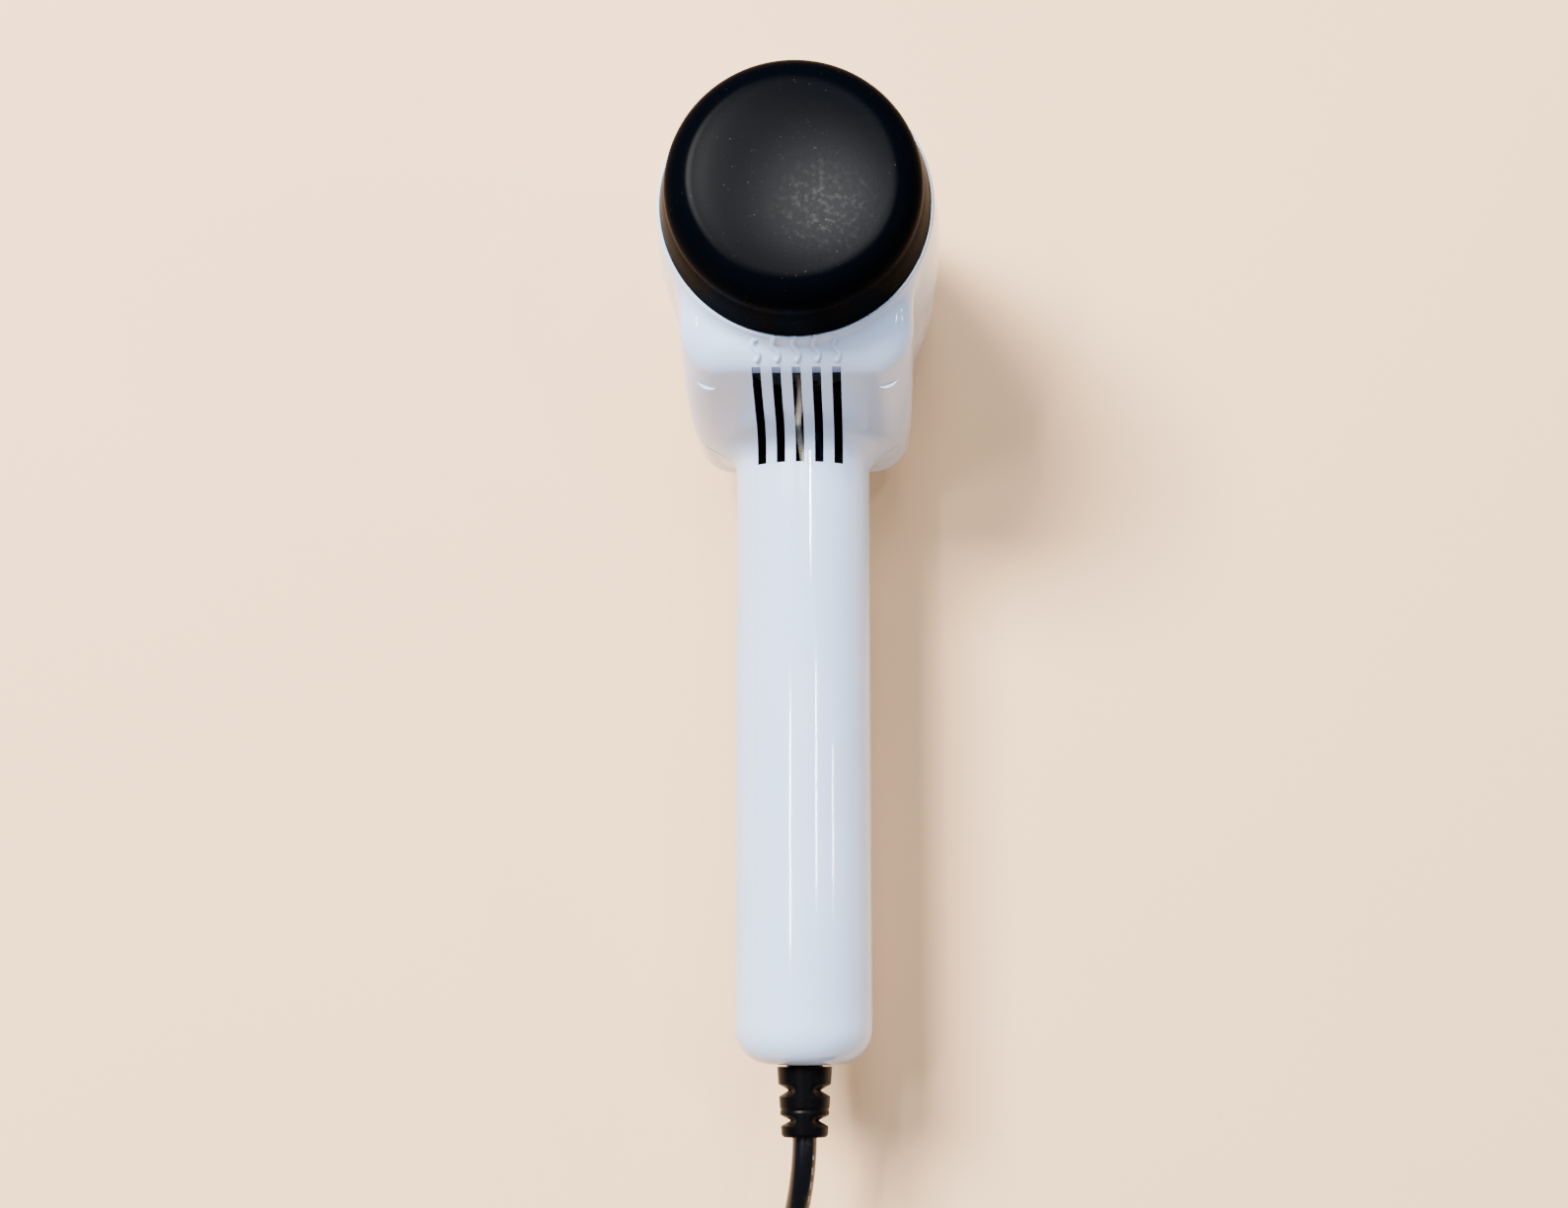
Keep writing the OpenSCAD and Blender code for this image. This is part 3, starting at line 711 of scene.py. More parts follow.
@dataclass(frozen=True)
class Finish:
    """A plain finish: two close colours, a grain and how rough and metallic it is."""

    name: str
    light: Colour
    dark: Colour
    roughness: float
    metallic: float = 0.0
    grain: Grain = Grain.MOULDED
    size: float = 0.5
    depth: float = 0.02
    coat: float = 0.0
    shine: float = 0.5
    patch_size: float = 14.0
    patch_share: float = 0.45
    patch_roughness: float = 0.12

    def height(self, paint: Paint) -> Sock:
        """The grain as a height from 0 to 1.

        Args:
            paint: the material's tree.

        Returns:
            The height.
        """
        if self.grain is Grain.TURNED:
            rings = paint.axis("Z") * (TURN / self.size)
            return rings.math("SINE") * 0.5 + paint.noise(self.size * 3)
        if self.grain is Grain.BRUSHED:
            return paint.noise(self.size, 3, paint.stretched((1, 1, 0.06)))
        if self.grain is Grain.WOVEN:
            waves = [(paint.axis(a) * (TURN / self.size)).math("SINE") for a in "XYZ"]
            return waves[0] * waves[1] * 0.5 + waves[2] * waves[1] * 0.5 + 0.5
        if self.grain is Grain.FLAKY:
            values = {"Vector": paint.stretched((1, 1, 0.5)), "Scale": 1 / (self.size * MM)}
            return paint.out(paint.add("ShaderNodeTexVoronoi", {}, values), 0)
        if self.grain is Grain.LAYERED:
            return (paint.axis("Z") * (TURN / self.size)).math("SINE").step(-0.7, 0.2)
        return paint.noise(self.size, 4)

    def make(self) -> bpy.types.Material:
        """Builds the material."""
        paint = Paint(self.name)
        height = self.height(paint)
        patches = paint.noise(self.patch_size, 3).step(0.35, 0.7)
        share = height.step(0.2, 0.8) * (1 - self.patch_share) + patches * self.patch_share
        return paint.close(
            Base_Color=paint.blend(share, self.dark, self.light),
            Roughness=self.roughness + (patches - 0.5) * self.patch_roughness,
            Metallic=self.metallic,
            Coat_Weight=self.coat,
            Specular_IOR_Level=self.shine,
            Normal=paint.bump(height, self.depth),
        )


@dataclass(frozen=True)
class ShellFinish:
    """Glossy white plastic with a cool tint, faint handling marks and a slight waviness."""

    white: Colour = (0.48, 0.62, 0.90)
    aged: Colour = (0.45, 0.59, 0.87)
    speck: Colour = (0.5, 0.5, 0.5)
    roughness: float = 0.07
    smear_roughness: float = 0.06
    speck_roughness: float = 0.25
    cloud_size: float = 38.0
    smear_size: float = 9.0
    smear_stretch: Point = (1.6, 0.35, 1.0)
    speck_size: float = 0.9
    speck_share: float = 0.25
    wave_size: float = 16.0
    wave_depth: float = 0.06
    grain_size: float = 1.6
    grain_share: float = 0.02

    def make(self) -> bpy.types.Material:
        """Builds the material."""
        paint = Paint("white_shell")
        cloud = paint.noise(self.cloud_size, 3).step(0.35, 0.65)
        smeared = paint.stretched(self.smear_stretch)
        smears = paint.noise(self.smear_size, 4, smeared).step(0.5, 0.85)
        specks = paint.noise(self.speck_size, 1).step(0.74, 0.8)
        colour = paint.blend(cloud, self.white, self.aged)
        waves = paint.noise(self.wave_size, 2) + paint.noise(self.grain_size, 2) * self.grain_share
        marks = smears * self.smear_roughness + specks * self.speck_roughness
        return paint.close(
            Base_Color=paint.blend(specks * self.speck_share, colour, self.speck),
            Roughness=self.roughness + marks,
            Normal=paint.bump(waves, self.wave_depth),
            Specular_IOR_Level=0.5,
        )


@dataclass(frozen=True)
class InsideShadeFinish:
    """The inner side of the shells, painted nearly black as shade for the dark interior, with a
    mottle of dust.
    """

    # painted shade: this near black stands in for the shade inside the white shell
    colour: Colour = (0.03, 0.03, 0.032)
    dust: Colour = (0.07, 0.065, 0.06)
    roughness: float = 0.6
    dust_roughness: float = 0.3
    dust_size: float = 6.0
    grain_size: float = 0.6
    grain_depth: float = 0.05

    def make(self) -> bpy.types.Material:
        """Builds the material."""
        paint = Paint("shell_inside")
        dust = paint.noise(self.dust_size, 5).step(0.4, 0.75)
        return paint.close(
            Base_Color=paint.blend(dust, self.colour, self.dust),
            Roughness=self.roughness + dust * self.dust_roughness,
            Normal=paint.bump(paint.noise(self.grain_size, 3), self.grain_depth),
        )


@dataclass(frozen=True)
class CapFinish:
    """Satin black plastic whose face is scuffed from standing and from hands."""

    top: float
    black: Colour = (0.0006, 0.0009, 0.0018)
    worn: Colour = (0.03, 0.028, 0.03)
    dust: Colour = (0.25, 0.24, 0.22)
    rubbed_at: Point = (7, -7, 0)
    rubbed_core: float = 2.0
    rubbed_reach: float = 15.0
    sheen_reach: float = 24.0
    sheen: float = 0.16
    sheen_loss: float = 0.11
    scuff_size: float = 1.5
    dust_size: float = 0.5
    cloud_size: float = 11.0
    grain_size: float = 0.32
    grain_depth: float = 0.03
    roughness: float = 0.3

    def make(self) -> bpy.types.Material:
        """Builds the material; only the face has the scuffs and the stronger sheen."""
        paint = Paint("black_cap")
        on_face = paint.axis("Z").step(self.top - 0.8, self.top - 0.45)
        plan = paint.stretched((1 / MM, 1 / MM, 0), self.rubbed_at)
        length = paint.add("ShaderNodeVectorMath", {"operation": "LENGTH"}, {0: plan})
        away = paint.out(length, "Value")
        rubbed = (1 - away.step(self.rubbed_core, self.rubbed_reach)) * on_face
        scuffs = paint.noise(self.scuff_size, 6).step(0.46, 0.8) * rubbed
        dust = paint.noise(self.dust_size, 2).step(0.72, 0.8) * (0.3 + 0.7 * on_face)
        colour = paint.blend(scuffs * 0.6, self.black, self.worn)
        cloud = paint.noise(self.cloud_size, 3)
        grain = paint.noise(self.grain_size, 3) * (0.35 + 0.65 * on_face)
        sheen = on_face * (self.sheen - away.step(0, self.sheen_reach) * self.sheen_loss)
        return paint.close(
            Base_Color=paint.blend(dust * 0.3, colour, self.dust),
            Roughness=self.roughness + on_face * 0.08 + scuffs * 0.16 - cloud * 0.06,
            IOR=1.02,
            Coat_Weight=sheen + scuffs * 0.08,
            Coat_Roughness=0.26,
            Normal=paint.bump(grain + scuffs * 0.5, self.grain_depth),
        )


@dataclass(frozen=True)
class CordFinish:
    """Black cord jacket with a run of faint pale dashes along one side."""

    black: Colour = (0.001, 0.0013, 0.0025)
    pale: Colour = (0.32, 0.32, 0.36)
    dash_at: float = 0.40
    dash_pitch: float = 3.4
    group_pitch: float = 19.0
    dash_share: float = 0.6
    roughness: float = 0.24
    scratch_size: float = 3.0
    grain_size: float = 1.1
    wave_size: float = 8.0
    depth: float = 0.05

    def make(self) -> bpy.types.Material:
        """Builds the material; the dashes follow the jacket's own length and round."""
        paint = Paint("cord_rubber")
        both = paint.out(paint.add("ShaderNodeUVMap", {"uv_map": "along"}))
        parts = paint.add("ShaderNodeSeparateXYZ", {}, {0: both})
        along = paint.out(parts, "X") * (1 / MM)
        off = (paint.out(parts, "Y") - self.dash_at).math("ABSOLUTE")
        beat = (along * (1 / self.dash_pitch)).math("FRACT")
        broken = (along * (1 / self.group_pitch)).math("FRACT").step(0.2, 0.24)
        dash = (1 - beat.step(0.45, 0.55)) * (1 - off.step(0.008, 0.018)) * broken
        scratches = paint.noise(self.scratch_size, 4).step(0.55, 0.8)
        grain = paint.noise(self.grain_size, 3) * 0.4 + paint.noise(self.wave_size, 1)
        return paint.close(
            Base_Color=paint.blend(dash * self.dash_share, self.black, self.pale),
            Roughness=self.roughness + scratches * 0.14,
            Specular_IOR_Level=0.28,
            Normal=paint.bump(grain, self.depth),
        )


def plain_finishes() -> dict[str, Finish]:
    """Gives the plain finishes by material slot."""
    rows = [
        Finish("black_trim", (0.03, 0.03, 0.033), (0.016, 0.016, 0.018),
               0.5, size=0.35, depth=0.03),
        Finish("screw_steel", (0.66, 0.66, 0.68), (0.5, 0.5, 0.5),
               0.3, 1.0, Grain.TURNED, 0.3, 0.01),
        Finish("duct_plastic", (0.74, 0.72, 0.65), (0.66, 0.63, 0.55), 0.45, size=0.6),
        Finish("can_steel", (0.6, 0.6, 0.61), (0.42, 0.42, 0.43),
               0.32, 1.0, Grain.BRUSHED, 0.4, 0.012),
        Finish("magnet", (0.1, 0.1, 0.105), (0.05, 0.05, 0.055), 0.7, 0.2, size=0.4, depth=0.05),
        Finish("dark_plastic", (0.06, 0.06, 0.065), (0.03, 0.03, 0.034), 0.42, size=0.4),
        Finish("carbon", (0.05, 0.05, 0.05), (0.02, 0.02, 0.02), 0.65, size=0.2, depth=0.03),
        Finish("bronze", (0.62, 0.43, 0.2), (0.45, 0.29, 0.12),
               0.38, 1.0, Grain.TURNED, 0.25, 0.01),
        Finish("copper", (0.75, 0.34, 0.14), (0.5, 0.19, 0.07),
               0.3, 0.85, Grain.LAYERED, 0.5, 0.08, 0.5),
        Finish("mica", (0.78, 0.72, 0.56), (0.55, 0.48, 0.34),
               0.45, 0.1, Grain.FLAKY, 3.0, 0.06, 0.3),
        Finish("nichrome", (0.5, 0.45, 0.4), (0.24, 0.2, 0.18), 0.4, 0.9, size=1.2, depth=0.02),
        Finish("thermal_metal", (0.7, 0.7, 0.68), (0.52, 0.52, 0.5),
               0.3, 1.0, Grain.BRUSHED, 0.3, 0.01),
        Finish("amber_film", (0.72, 0.42, 0.05), (0.5, 0.26, 0.03),
               0.2, size=2.0, depth=0.04, coat=0.6),
        Finish("ferrite", (0.12, 0.11, 0.1), (0.06, 0.055, 0.05), 0.6, size=0.3, depth=0.04),
        Finish("blue_button", (0.07, 0.24, 0.5), (0.05, 0.18, 0.4),
               0.28, size=0.4, depth=0.015, coat=0.3),
        Finish("spring_steel", (0.7, 0.7, 0.72), (0.5, 0.5, 0.52),
               0.22, 1.0, size=0.3, depth=0.008),
        Finish("moulded_rubber", (0.002, 0.002, 0.003), (0.0008, 0.0008, 0.0012), 0.36,
               size=0.5, depth=0.03, shine=0.05),
        Finish("cream_lead", (0.86, 0.8, 0.6), (0.66, 0.58, 0.4), 0.7, 0, Grain.WOVEN, 0.7, 0.12),
        # blue_lead is darkened to a near-black navy as painted shade, so the lead seen through the
        # neck slots reads dark
        Finish("blue_lead", (0.012, 0.03, 0.09), (0.008, 0.02, 0.06), 0.35, size=0.8),
        Finish("brown_lead", (0.25, 0.11, 0.05), (0.16, 0.07, 0.03), 0.35, size=0.8),
        Finish("tie_fabric", (0.035, 0.035, 0.038), (0.008, 0.008, 0.009),
               0.9, 0, Grain.WOVEN, 0.8, 0.3),
        Finish("pin_metal", (0.8, 0.77, 0.7), (0.62, 0.6, 0.54),
               0.16, 1.0, Grain.BRUSHED, 0.5, 0.008),
    ]
    return {row.name: row for row in rows}


MATERIALS: dict[str, bpy.types.Material] = {}


def finish(slot: str) -> bpy.types.Material:
    """Gives the material of a slot, and makes it the first time."""
    if slot not in MATERIALS:
        MATERIALS[slot] = plain_finishes()[slot].make()
    return MATERIALS[slot]


def dress(slot: str, node: str) -> None:
    """Gives a CAD node that stays in view its finish.

    Args:
        slot: the material slot.
        node: the CAD node's name.
    """
    thing = frame["nodes"][node]
    for place in thing.material_slots:
        place.material = finish(slot)
    LOG.info("%s keeps its CAD mesh and is dressed as %s", node, slot)


# ---------------------------------------------------------------- studio


@dataclass(frozen=True)
class Lamp:
    """A rectangular soft light: where it stands, what it faces, its size and its power."""

    name: str
    at: Point
    aim: Point
    size: Point
    power: float
    colour: Colour = (1.0, 1.0, 1.0)

    def hang(self) -> None:
        """Puts the light in the scene, its height along the handle."""
        data = bpy.data.lights.new(self.name, "AREA")
        data.shape = "RECTANGLE"
        data.size, data.size_y = self.size[0] * MM, self.size[1] * MM
        data.energy = self.power
        data.color = self.colour
        lamp = bpy.data.objects.new(self.name, data)
        back = (Vector(self.at) - Vector(self.aim)).normalized()
        right = Vector((0, 1, 0)).cross(back).normalized()
        turn = Matrix((right, back.cross(right), back)).transposed().to_4x4()
        lamp.matrix_world = Matrix.Translation(Vector(self.at) * MM) @ turn
        bpy.context.scene.collection.objects.link(lamp)


@dataclass
class Studio:
    """The camera, the floor and the lights."""

    lens: float = 58.9
    eye: Point = (18.1, -185.6, 689.5)
    tilt: Point = (8.64, 2.02, 0.0)
    nearest: float = 10.0
    floor_half: float = 1600.0
    floor_colour: Colour = (0.88, 0.57, 0.335)
    floor_shade: float = 0.97
    room_colour: Colour = (0.93, 0.95, 1.0)
    room_power: float = 0.24

    def camera(self) -> None:
        """Sets the camera above the dryer, looking down."""
        data = bpy.data.cameras.new("camera")
        data.lens = self.lens
        data.clip_start = self.nearest * MM
        eye = bpy.data.objects.new("camera", data)
        eye.location = [c * MM for c in self.eye]
        eye.rotation_euler = [math.radians(a) for a in self.tilt]
        bpy.context.scene.collection.objects.link(eye)
        bpy.context.scene.camera = eye

    def floor(self) -> None:
        """Lays a pale floor under everything."""
        paint = Paint("pale_floor")
        cloud = paint.noise(260, 2).step(0.3, 0.7)
        darker = tuple(self.floor_shade * c for c in self.floor_colour)
        paint.close(
            Base_Color=paint.blend(cloud, self.floor_colour, darker),
            Roughness=0.85,
            Specular_IOR_Level=0.15,
        )
        half = self.floor_half
        corners = [(-half, -half, 0), (half, -half, 0), (half, half, 0), (-half, half, 0)]
        floor = link("floor", Solid(np.array(corners, float), [(0, 1, 2, 3)]).mesh("floor"))
        floor.data.materials.append(paint.material)

    def lights(self) -> None:
        """Hangs a soft key at the upper left, a fill and narrow strips for the gloss."""
        lamps = [
            Lamp("key", (-640, 490, 1400), (0, -60, 40), (580, 420), 98, (1.0, 0.985, 0.96)),
            Lamp("fill", (60, 430, 1600), (0, -60, 40), (330, 330), 9, (0.97, 0.98, 1.0)),
            Lamp("strip_left", (-487, -50, 1340), (0, -130, 60), (38, 188), 5.0),
            Lamp("strip_middle", (556, -14, 1370), (0, -130, 60), (34, 175), 4.0),
            Lamp("strip_top", (326, 199, 1370), (0, -60, 60), (40, 70), 3.0),
            Lamp("strip_right", (1405, -21, 1150), (0, -140, 60), (60, 130), 2.6),
        ]
        for lamp in lamps:
            lamp.hang()
        world = bpy.data.worlds.new("soft_room")
        bpy.context.scene.world = world
        world.use_nodes = True
        background = world.node_tree.nodes["Background"].inputs
        background["Color"].default_value = (*self.room_colour, 1.0)
        background["Strength"].default_value = self.room_power

    def build(self) -> None:
        """Sets the whole stage."""
        self.camera()
        self.floor()
        self.lights()
        LOG.info("studio is set")


# ---------------------------------------------------------------- cord and plug


@dataclass
class Cord:
    """The mains cord: from the strain relief down to the table, into a tied coil, and its plug."""

    diameter: float = 6.0
    coil_at: Point = (10.0, -307.5)
    enter: float = 150.0
    leave: float = 60.0
    whole_turns: int = 7
    points_a_turn: int = 28
    step: float = 3.0
    sides: int = 14
    fit: float = 0.02
    tie_at: float = 20.0
    tie_width: float = 10.0
    tie_thick: float = 1.2
    tie_crown: float = 0.14
    tie_inside: float = 0.1
    tie_corner: float = 3.0

    def route(self) -> np.ndarray:
        """The points from the strain relief to the coil."""
        return np.array([
            (0.5, -220.4, 46), (0.4, -224, 45.9), (0.1, -228, 45.4), (-0.4, -232, 44.2),
            (-1.1, -236, 42.2), (-2, -240, 39.4), (-3.1, -244, 36), (-4.4, -248, 32),
            (-5.8, -252, 27.8), (-7.3, -256, 23.2),
            (-9, -260, 18.8), (-10.8, -264, 14.8), (-12.8, -268, 11.2), (-14.9, -272, 8.2),
            (-17, -276, 5.8), (-19.2, -280, 4.1), (-21.5, -284, 3.2), (-23.8, -288, 3)], float)

    def tail(self) -> np.ndarray:
        """The points from the top of the coil to the plug."""
        return np.array([
            (23.5, -284.1, 15), (20.6, -282.6, 15.3), (17.5, -281.6, 16), (14, -280.9, 17.4),
            (10.4, -280.6, 19.4), (6.8, -280.9, 21.8), (3.2, -281.8, 24.3), (-0.2, -283.3, 26.6),
            (-3.4, -285.2, 28.4), (-6.4, -287.6, 29.8), (-9, -290.5, 30.6), (-11.3, -293.8, 31),
            (-13, -297.4, 31.05), (-14.4, -301.2, 31.05), (-15.2, -304.6, 31.05),
            (-15.4, -306.6, 31.05)], float)

    def turns(self) -> np.ndarray:
        """The coil's turns, a diameter apart, in three layers of up to three.

        Returns:
            The centreline's points, without the first and the last.
        """
        d = self.diameter
        near, middle, far = 4.5 * d, 5.5 * d, 6.5 * d
        low, mid, top = 0.5 * d, 1.5 * d, 2.5 * d
        cells = [(far, low), (middle, low), (near, low), (near, mid), (middle, mid), (far, mid),
                 (far, top), (middle, top), (near, top)]
        # when the cord moves on to the next cell, counted in turns: moves in one layer run side by
        # side, and a climb ends before the turn below it starts to move
        moves = [(0.62, 1.0), (1.62, 2.0), (2.37, 2.62), (3.14, 3.37), (4.14, 4.37),
                 (4.88, 5.14), (5.50, 5.88), (6.50, 6.88)]
        total = self.whole_turns + (self.leave - self.enter) % 360 / 360
        count = round(total * self.points_a_turn)
        points = []
        for step in range(1, count):
            wound = total * step / count
            radius, z = cells[0]
            for (start, end), cell in zip(moves, cells[1:]):
                t = min(max((wound - start) / (end - start), 0.0), 1.0)
                t = t * t * (3 - 2 * t)
                radius, z = radius + (cell[0] - radius) * t, z + (cell[1] - z) * t
            angle = math.radians(self.enter) + TURN * wound
            points.append((self.coil_at[0] + radius * math.cos(angle),
                           self.coil_at[1] + radius * math.sin(angle), z))
        return np.array(points)

    def jacket(self) -> tuple[bpy.types.Object, np.ndarray]:
        """The cord itself, one tube from the strain relief to the plug.

        Returns:
            The piece, and the line that it follows.
        """
        line = smooth_route(np.vstack([self.route(), self.turns(), self.tail()]), self.step)
        line[:, 2] = np.maximum(line[:, 2], self.diameter / 2)
        solid, marks = tube(line, self.diameter / 2, self.sides)
        cord = link("mains_cord", solid.mesh("mains_cord"))
        layer = cord.data.uv_layers.new(name="along")
        corners = np.zeros(len(cord.data.loops), np.int32)
        cord.data.loops.foreach_get("vertex_index", corners)
        uv = marks[corners]
        # a face that closes the ring takes 1, and not 0, on its far side
        for first in [p.loop_start for p in cord.data.polygons if p.loop_total == 4]:
            part = uv[first:first + 4, 1]
            part[part < part.max() - 0.5] += 1.0
        layer.data.foreach_set("uv", uv.ravel())
        MATERIALS["cord_rubber"] = CordFinish().make()
        cord.data.materials.append(MATERIALS["cord_rubber"])
        return shade(cord, 60), line

    def relief(self) -> bpy.types.Object:
        """The flexible strain relief, with notches from both sides and a spine between them."""
        low, high = box_mm("strain_relief")
        flange = 5.4  # how far the flange and the groove reach into the handle
        start = high[1] - flange
        run = start - low[1]
        across, height = (low[0] + high[0]) / 2, (low[2] + high[2]) / 2
        angles = TURN * np.arange(72) / 72
        # the notches reach in from the left and from the right
        bite = np.clip(np.abs(np.cos(angles)) * 1.9 - 0.55, 0, 1)
        groove = [(-flange, 6.6), (-3.5, 6.6), (-3.4, 4.5), (0.0, 4.5)]
        rows = [(y, np.full(72, r)) for y, r in groove]
        for share in np.linspace(0, 1, 69):
            taper = 6.8 - 1.1 * share
            edge = 0.45 * max(0.0, (share - 0.955) / 0.045) ** 2
            notches = [(0.335, 1.5), (0.765, 1.35)]  # place along it, half width
            depth = sum(max(0.0, 1 - abs(share * run - at * run) / half) for at, half in notches)
            lip = 0.25 * max(0.0, 1 - abs(share * run - 0.61 * run) / 0.5)
            rows.append((share * run, taper - edge - lip - depth * bite * 2.5))
        bore = np.full(72, self.diameter / 2 + self.fit)
        rows += [(run, bore), (-flange, bore), rows[0]]
        rings = [np.column_stack([across + r * np.cos(angles), np.full(72, start - y),
                                  height + r * np.sin(angles)]) for y, r in rows]
        body = loft(rings)
        body.faces = body.faces[:-2]
        return body.piece("strain_relief_sleeve", finish("moulded_rubber"), angle=40)

    def tie(self) -> bpy.types.Object:
        """A hook-and-loop strap round the coil, its back a little crowned."""
        half, middle = self.diameter * 1.5, self.diameter * 5.5
        corner, t = self.tie_corner, self.tie_thick
        centre = np.array([self.coil_at[0], self.coil_at[1], 0.0])
        angle = math.radians(self.tie_at)
        out = np.array([math.cos(angle), math.sin(angle), 0.0])
        side = np.array([-math.sin(angle), math.cos(angle), 0.0])
        up = np.array([0.0, 0.0, 1.0])
        loop = []
        for sx, sz, first in [(1, 1, 0), (-1, 1, 90), (-1, -1, 180), (1, -1, 270)]:
            for a in np.radians(first + 15.0 * np.arange(7)):
                loop.append((sx * (half - corner) + corner * math.cos(a),
                             sz * (half - corner) + corner * math.sin(a), math.cos(a), math.sin(a)))
        widths = np.linspace(-self.tie_width / 2, self.tie_width / 2, 9)
        crown = self.tie_crown * t * np.cos(math.pi * widths / self.tie_width)
        layers = list(zip(widths, t * (1 - self.tie_crown) + crown))
        layers += [(w, self.tie_inside) for w in widths[::-1]]
        rings = []
        for x, z, nx, nz in [*loop, loop[0]]:
            rings.append(np.array([centre + out * (middle + x + nx * h) + side * w
                                   + up * (half + z + nz * h) for w, h in layers]))
        band = loft(rings)
        band.faces = band.faces[:-2]
        band.verts[:, 2] = np.maximum(band.verts[:, 2], 0.0)
        return band.piece("coil_tie", finish("tie_fabric"), angle=50)

    def plug_moulding(self) -> bpy.types.Object:
        """The plug's body: round at the cord, squarer at the pins, with grip ribs on both faces."""
        low, high = box_mm("plug_body")
        centre = (low + high) / 2
        half_x, half_z = (high[0] - low[0]) / 2, (high[2] - low[2]) / 2
        length = high[1] - low[1]
        angles = TURN * np.arange(64) / 64
        c, s = np.cos(angles), np.sin(angles)
        # share of the length from the cord's end, then half width and half thickness as shares
        stations = [(0, .30, .42), (.03, .36, .49), (.12, .40, .54), (.25, .50, .62),
                    (.40, .66, .76), (.55, .84, .90), (.66, .95, .97), (.78, 1, 1), (.93, 1, 1),
                    (.975, .985, .98), (1, .93, .91)]
        rings = []
        for share, wide, thick in stations:
            power = 2.0 + 1.6 * min(1.0, share * 1.4)
            x = np.sign(c) * np.abs(c) ** (2 / power) * half_x * wide
            z = np.sign(s) * np.abs(s) ** (2 / power) * half_z * thick
            y = np.full(64, high[1] - share * length)
            rings.append(np.column_stack([centre[0] + x, y, centre[2] + z]))
        body = loft(rings).piece("plug_moulding", finish("moulded_rubber"), angle=60)
        soften = body.modifiers.new("soften", "SUBSURF")
        soften.levels = soften.render_levels = 1
        settle(body)
        ribs = []
        for side in (-1, 1):
            for k in range(4):
                y, z = high[1] - length * (0.66 + 0.07 * k), centre[2] + side * (half_z - 0.75)
                rib = brick((-8 + k, -0.45, -0.6), (8 - k, 0.45, 0.6))
                ribs.append(rib.moved((centre[0], y, z)))
        work(body, [(Join.ADD, rib) for rib in ribs])
        outward(body.data)
        return shade(body, 45)

    def plug_neck(self) -> bpy.types.Object:
        """The plug's own relief, with two grooves."""
        low, high = box_mm("plug_relief")
        run, bore = high[1] - low[1], self.diameter / 2 + self.fit
        profile = [(bore, 0.0), (4.0, 0.0)]
        for share in np.linspace(0, 1, 41):
            groove = max(max(0.0, 1 - abs(share * run - g) / 0.8) for g in (4.9, 10.9))
            profile.append((4.25 + 1.1 * share - 0.75 * groove**0.7, share * run))
        profile.append((bore, run))
        centre = (box_mm("plug_body")[0] + box_mm("plug_body")[1]) / 2
        relief = lathe(profile, 48).turned(90, "X").moved((centre[0], high[1], centre[2]))
        return relief.piece("plug_neck", finish("moulded_rubber"), angle=40)

    def plug_pins(self) -> bpy.types.Object:
        """The plug's two round pins, set side by side by a tree."""
        low, high = box_mm("plug_pins")
        radius, run = (high[2] - low[2]) / 2, high[1] - low[1]
        tip = [(radius * math.cos(a), run - radius * (1 - math.sin(a)) * 0.8)
               for a in np.radians(range(0, 90, 10))]
        pin = lathe([(0, 0), (radius, 0), (radius, 0.4), *tip, (0, run)], 40).turned(90, "X")
        pins = Maker("two_pins", {"Pitch": 0.019})
        pair = pins.row(2, pins.vector(pins.size("Pitch"), 0, 0))
        pins.close(pins.repeat(pair, pins.size("Geometry")), finish("pin_metal"))
        metal = pins.run("plug_pin_pair", pin, Pitch=(high[0] - low[0] - 2 * radius) * MM)
        centre = (box_mm("plug_body")[0] + box_mm("plug_body")[1]) / 2
        place = Vector((low[0] + radius, high[1], centre[2])) * MM
        metal.data.transform(Matrix.Translation(place))
        return shade(metal)

    def build(self) -> None:
        cord, line = self.jacket()
        put(cord, "housing", "cord_rubber", "cord_tube", "cord_coil", "cord_tail")
        put(self.relief(), "housing", "cord_rubber", "strain_relief")
        tie = put(self.tie(), "housing", "tie_fabric", "cord_tie")
        body = put(self.plug_moulding(), "housing", "cord_rubber", "plug_body")
        neck = put(self.plug_neck(), "housing", "cord_rubber", "plug_relief")
        pins = put(self.plug_pins(), "housing", "pin_metal", "plug_pins")
        line[0] * MM
        (line * MM).tolist()


# ---------------------------------------------------------------- shells


class Half(Enum):
    """The two shells, which meet at the handle's axis."""

    REAR = 1
    FRONT = -1


def round_max(a: np.ndarray, b: np.ndarray, radius: float) -> np.ndarray:
    """Intersects two distances, with a rounded outer edge."""
    both = np.hypot(np.maximum(a + radius, 0), np.maximum(b + radius, 0))
    return np.minimum(np.maximum(a, b), -radius) + both


def round_min(a: np.ndarray, b: np.ndarray, radius: float) -> np.ndarray:
    """Joins two distances, with a fillet between them."""
    both = np.hypot(np.maximum(radius - a, 0), np.maximum(radius - b, 0))
    return np.maximum(np.minimum(a, b), radius) - both


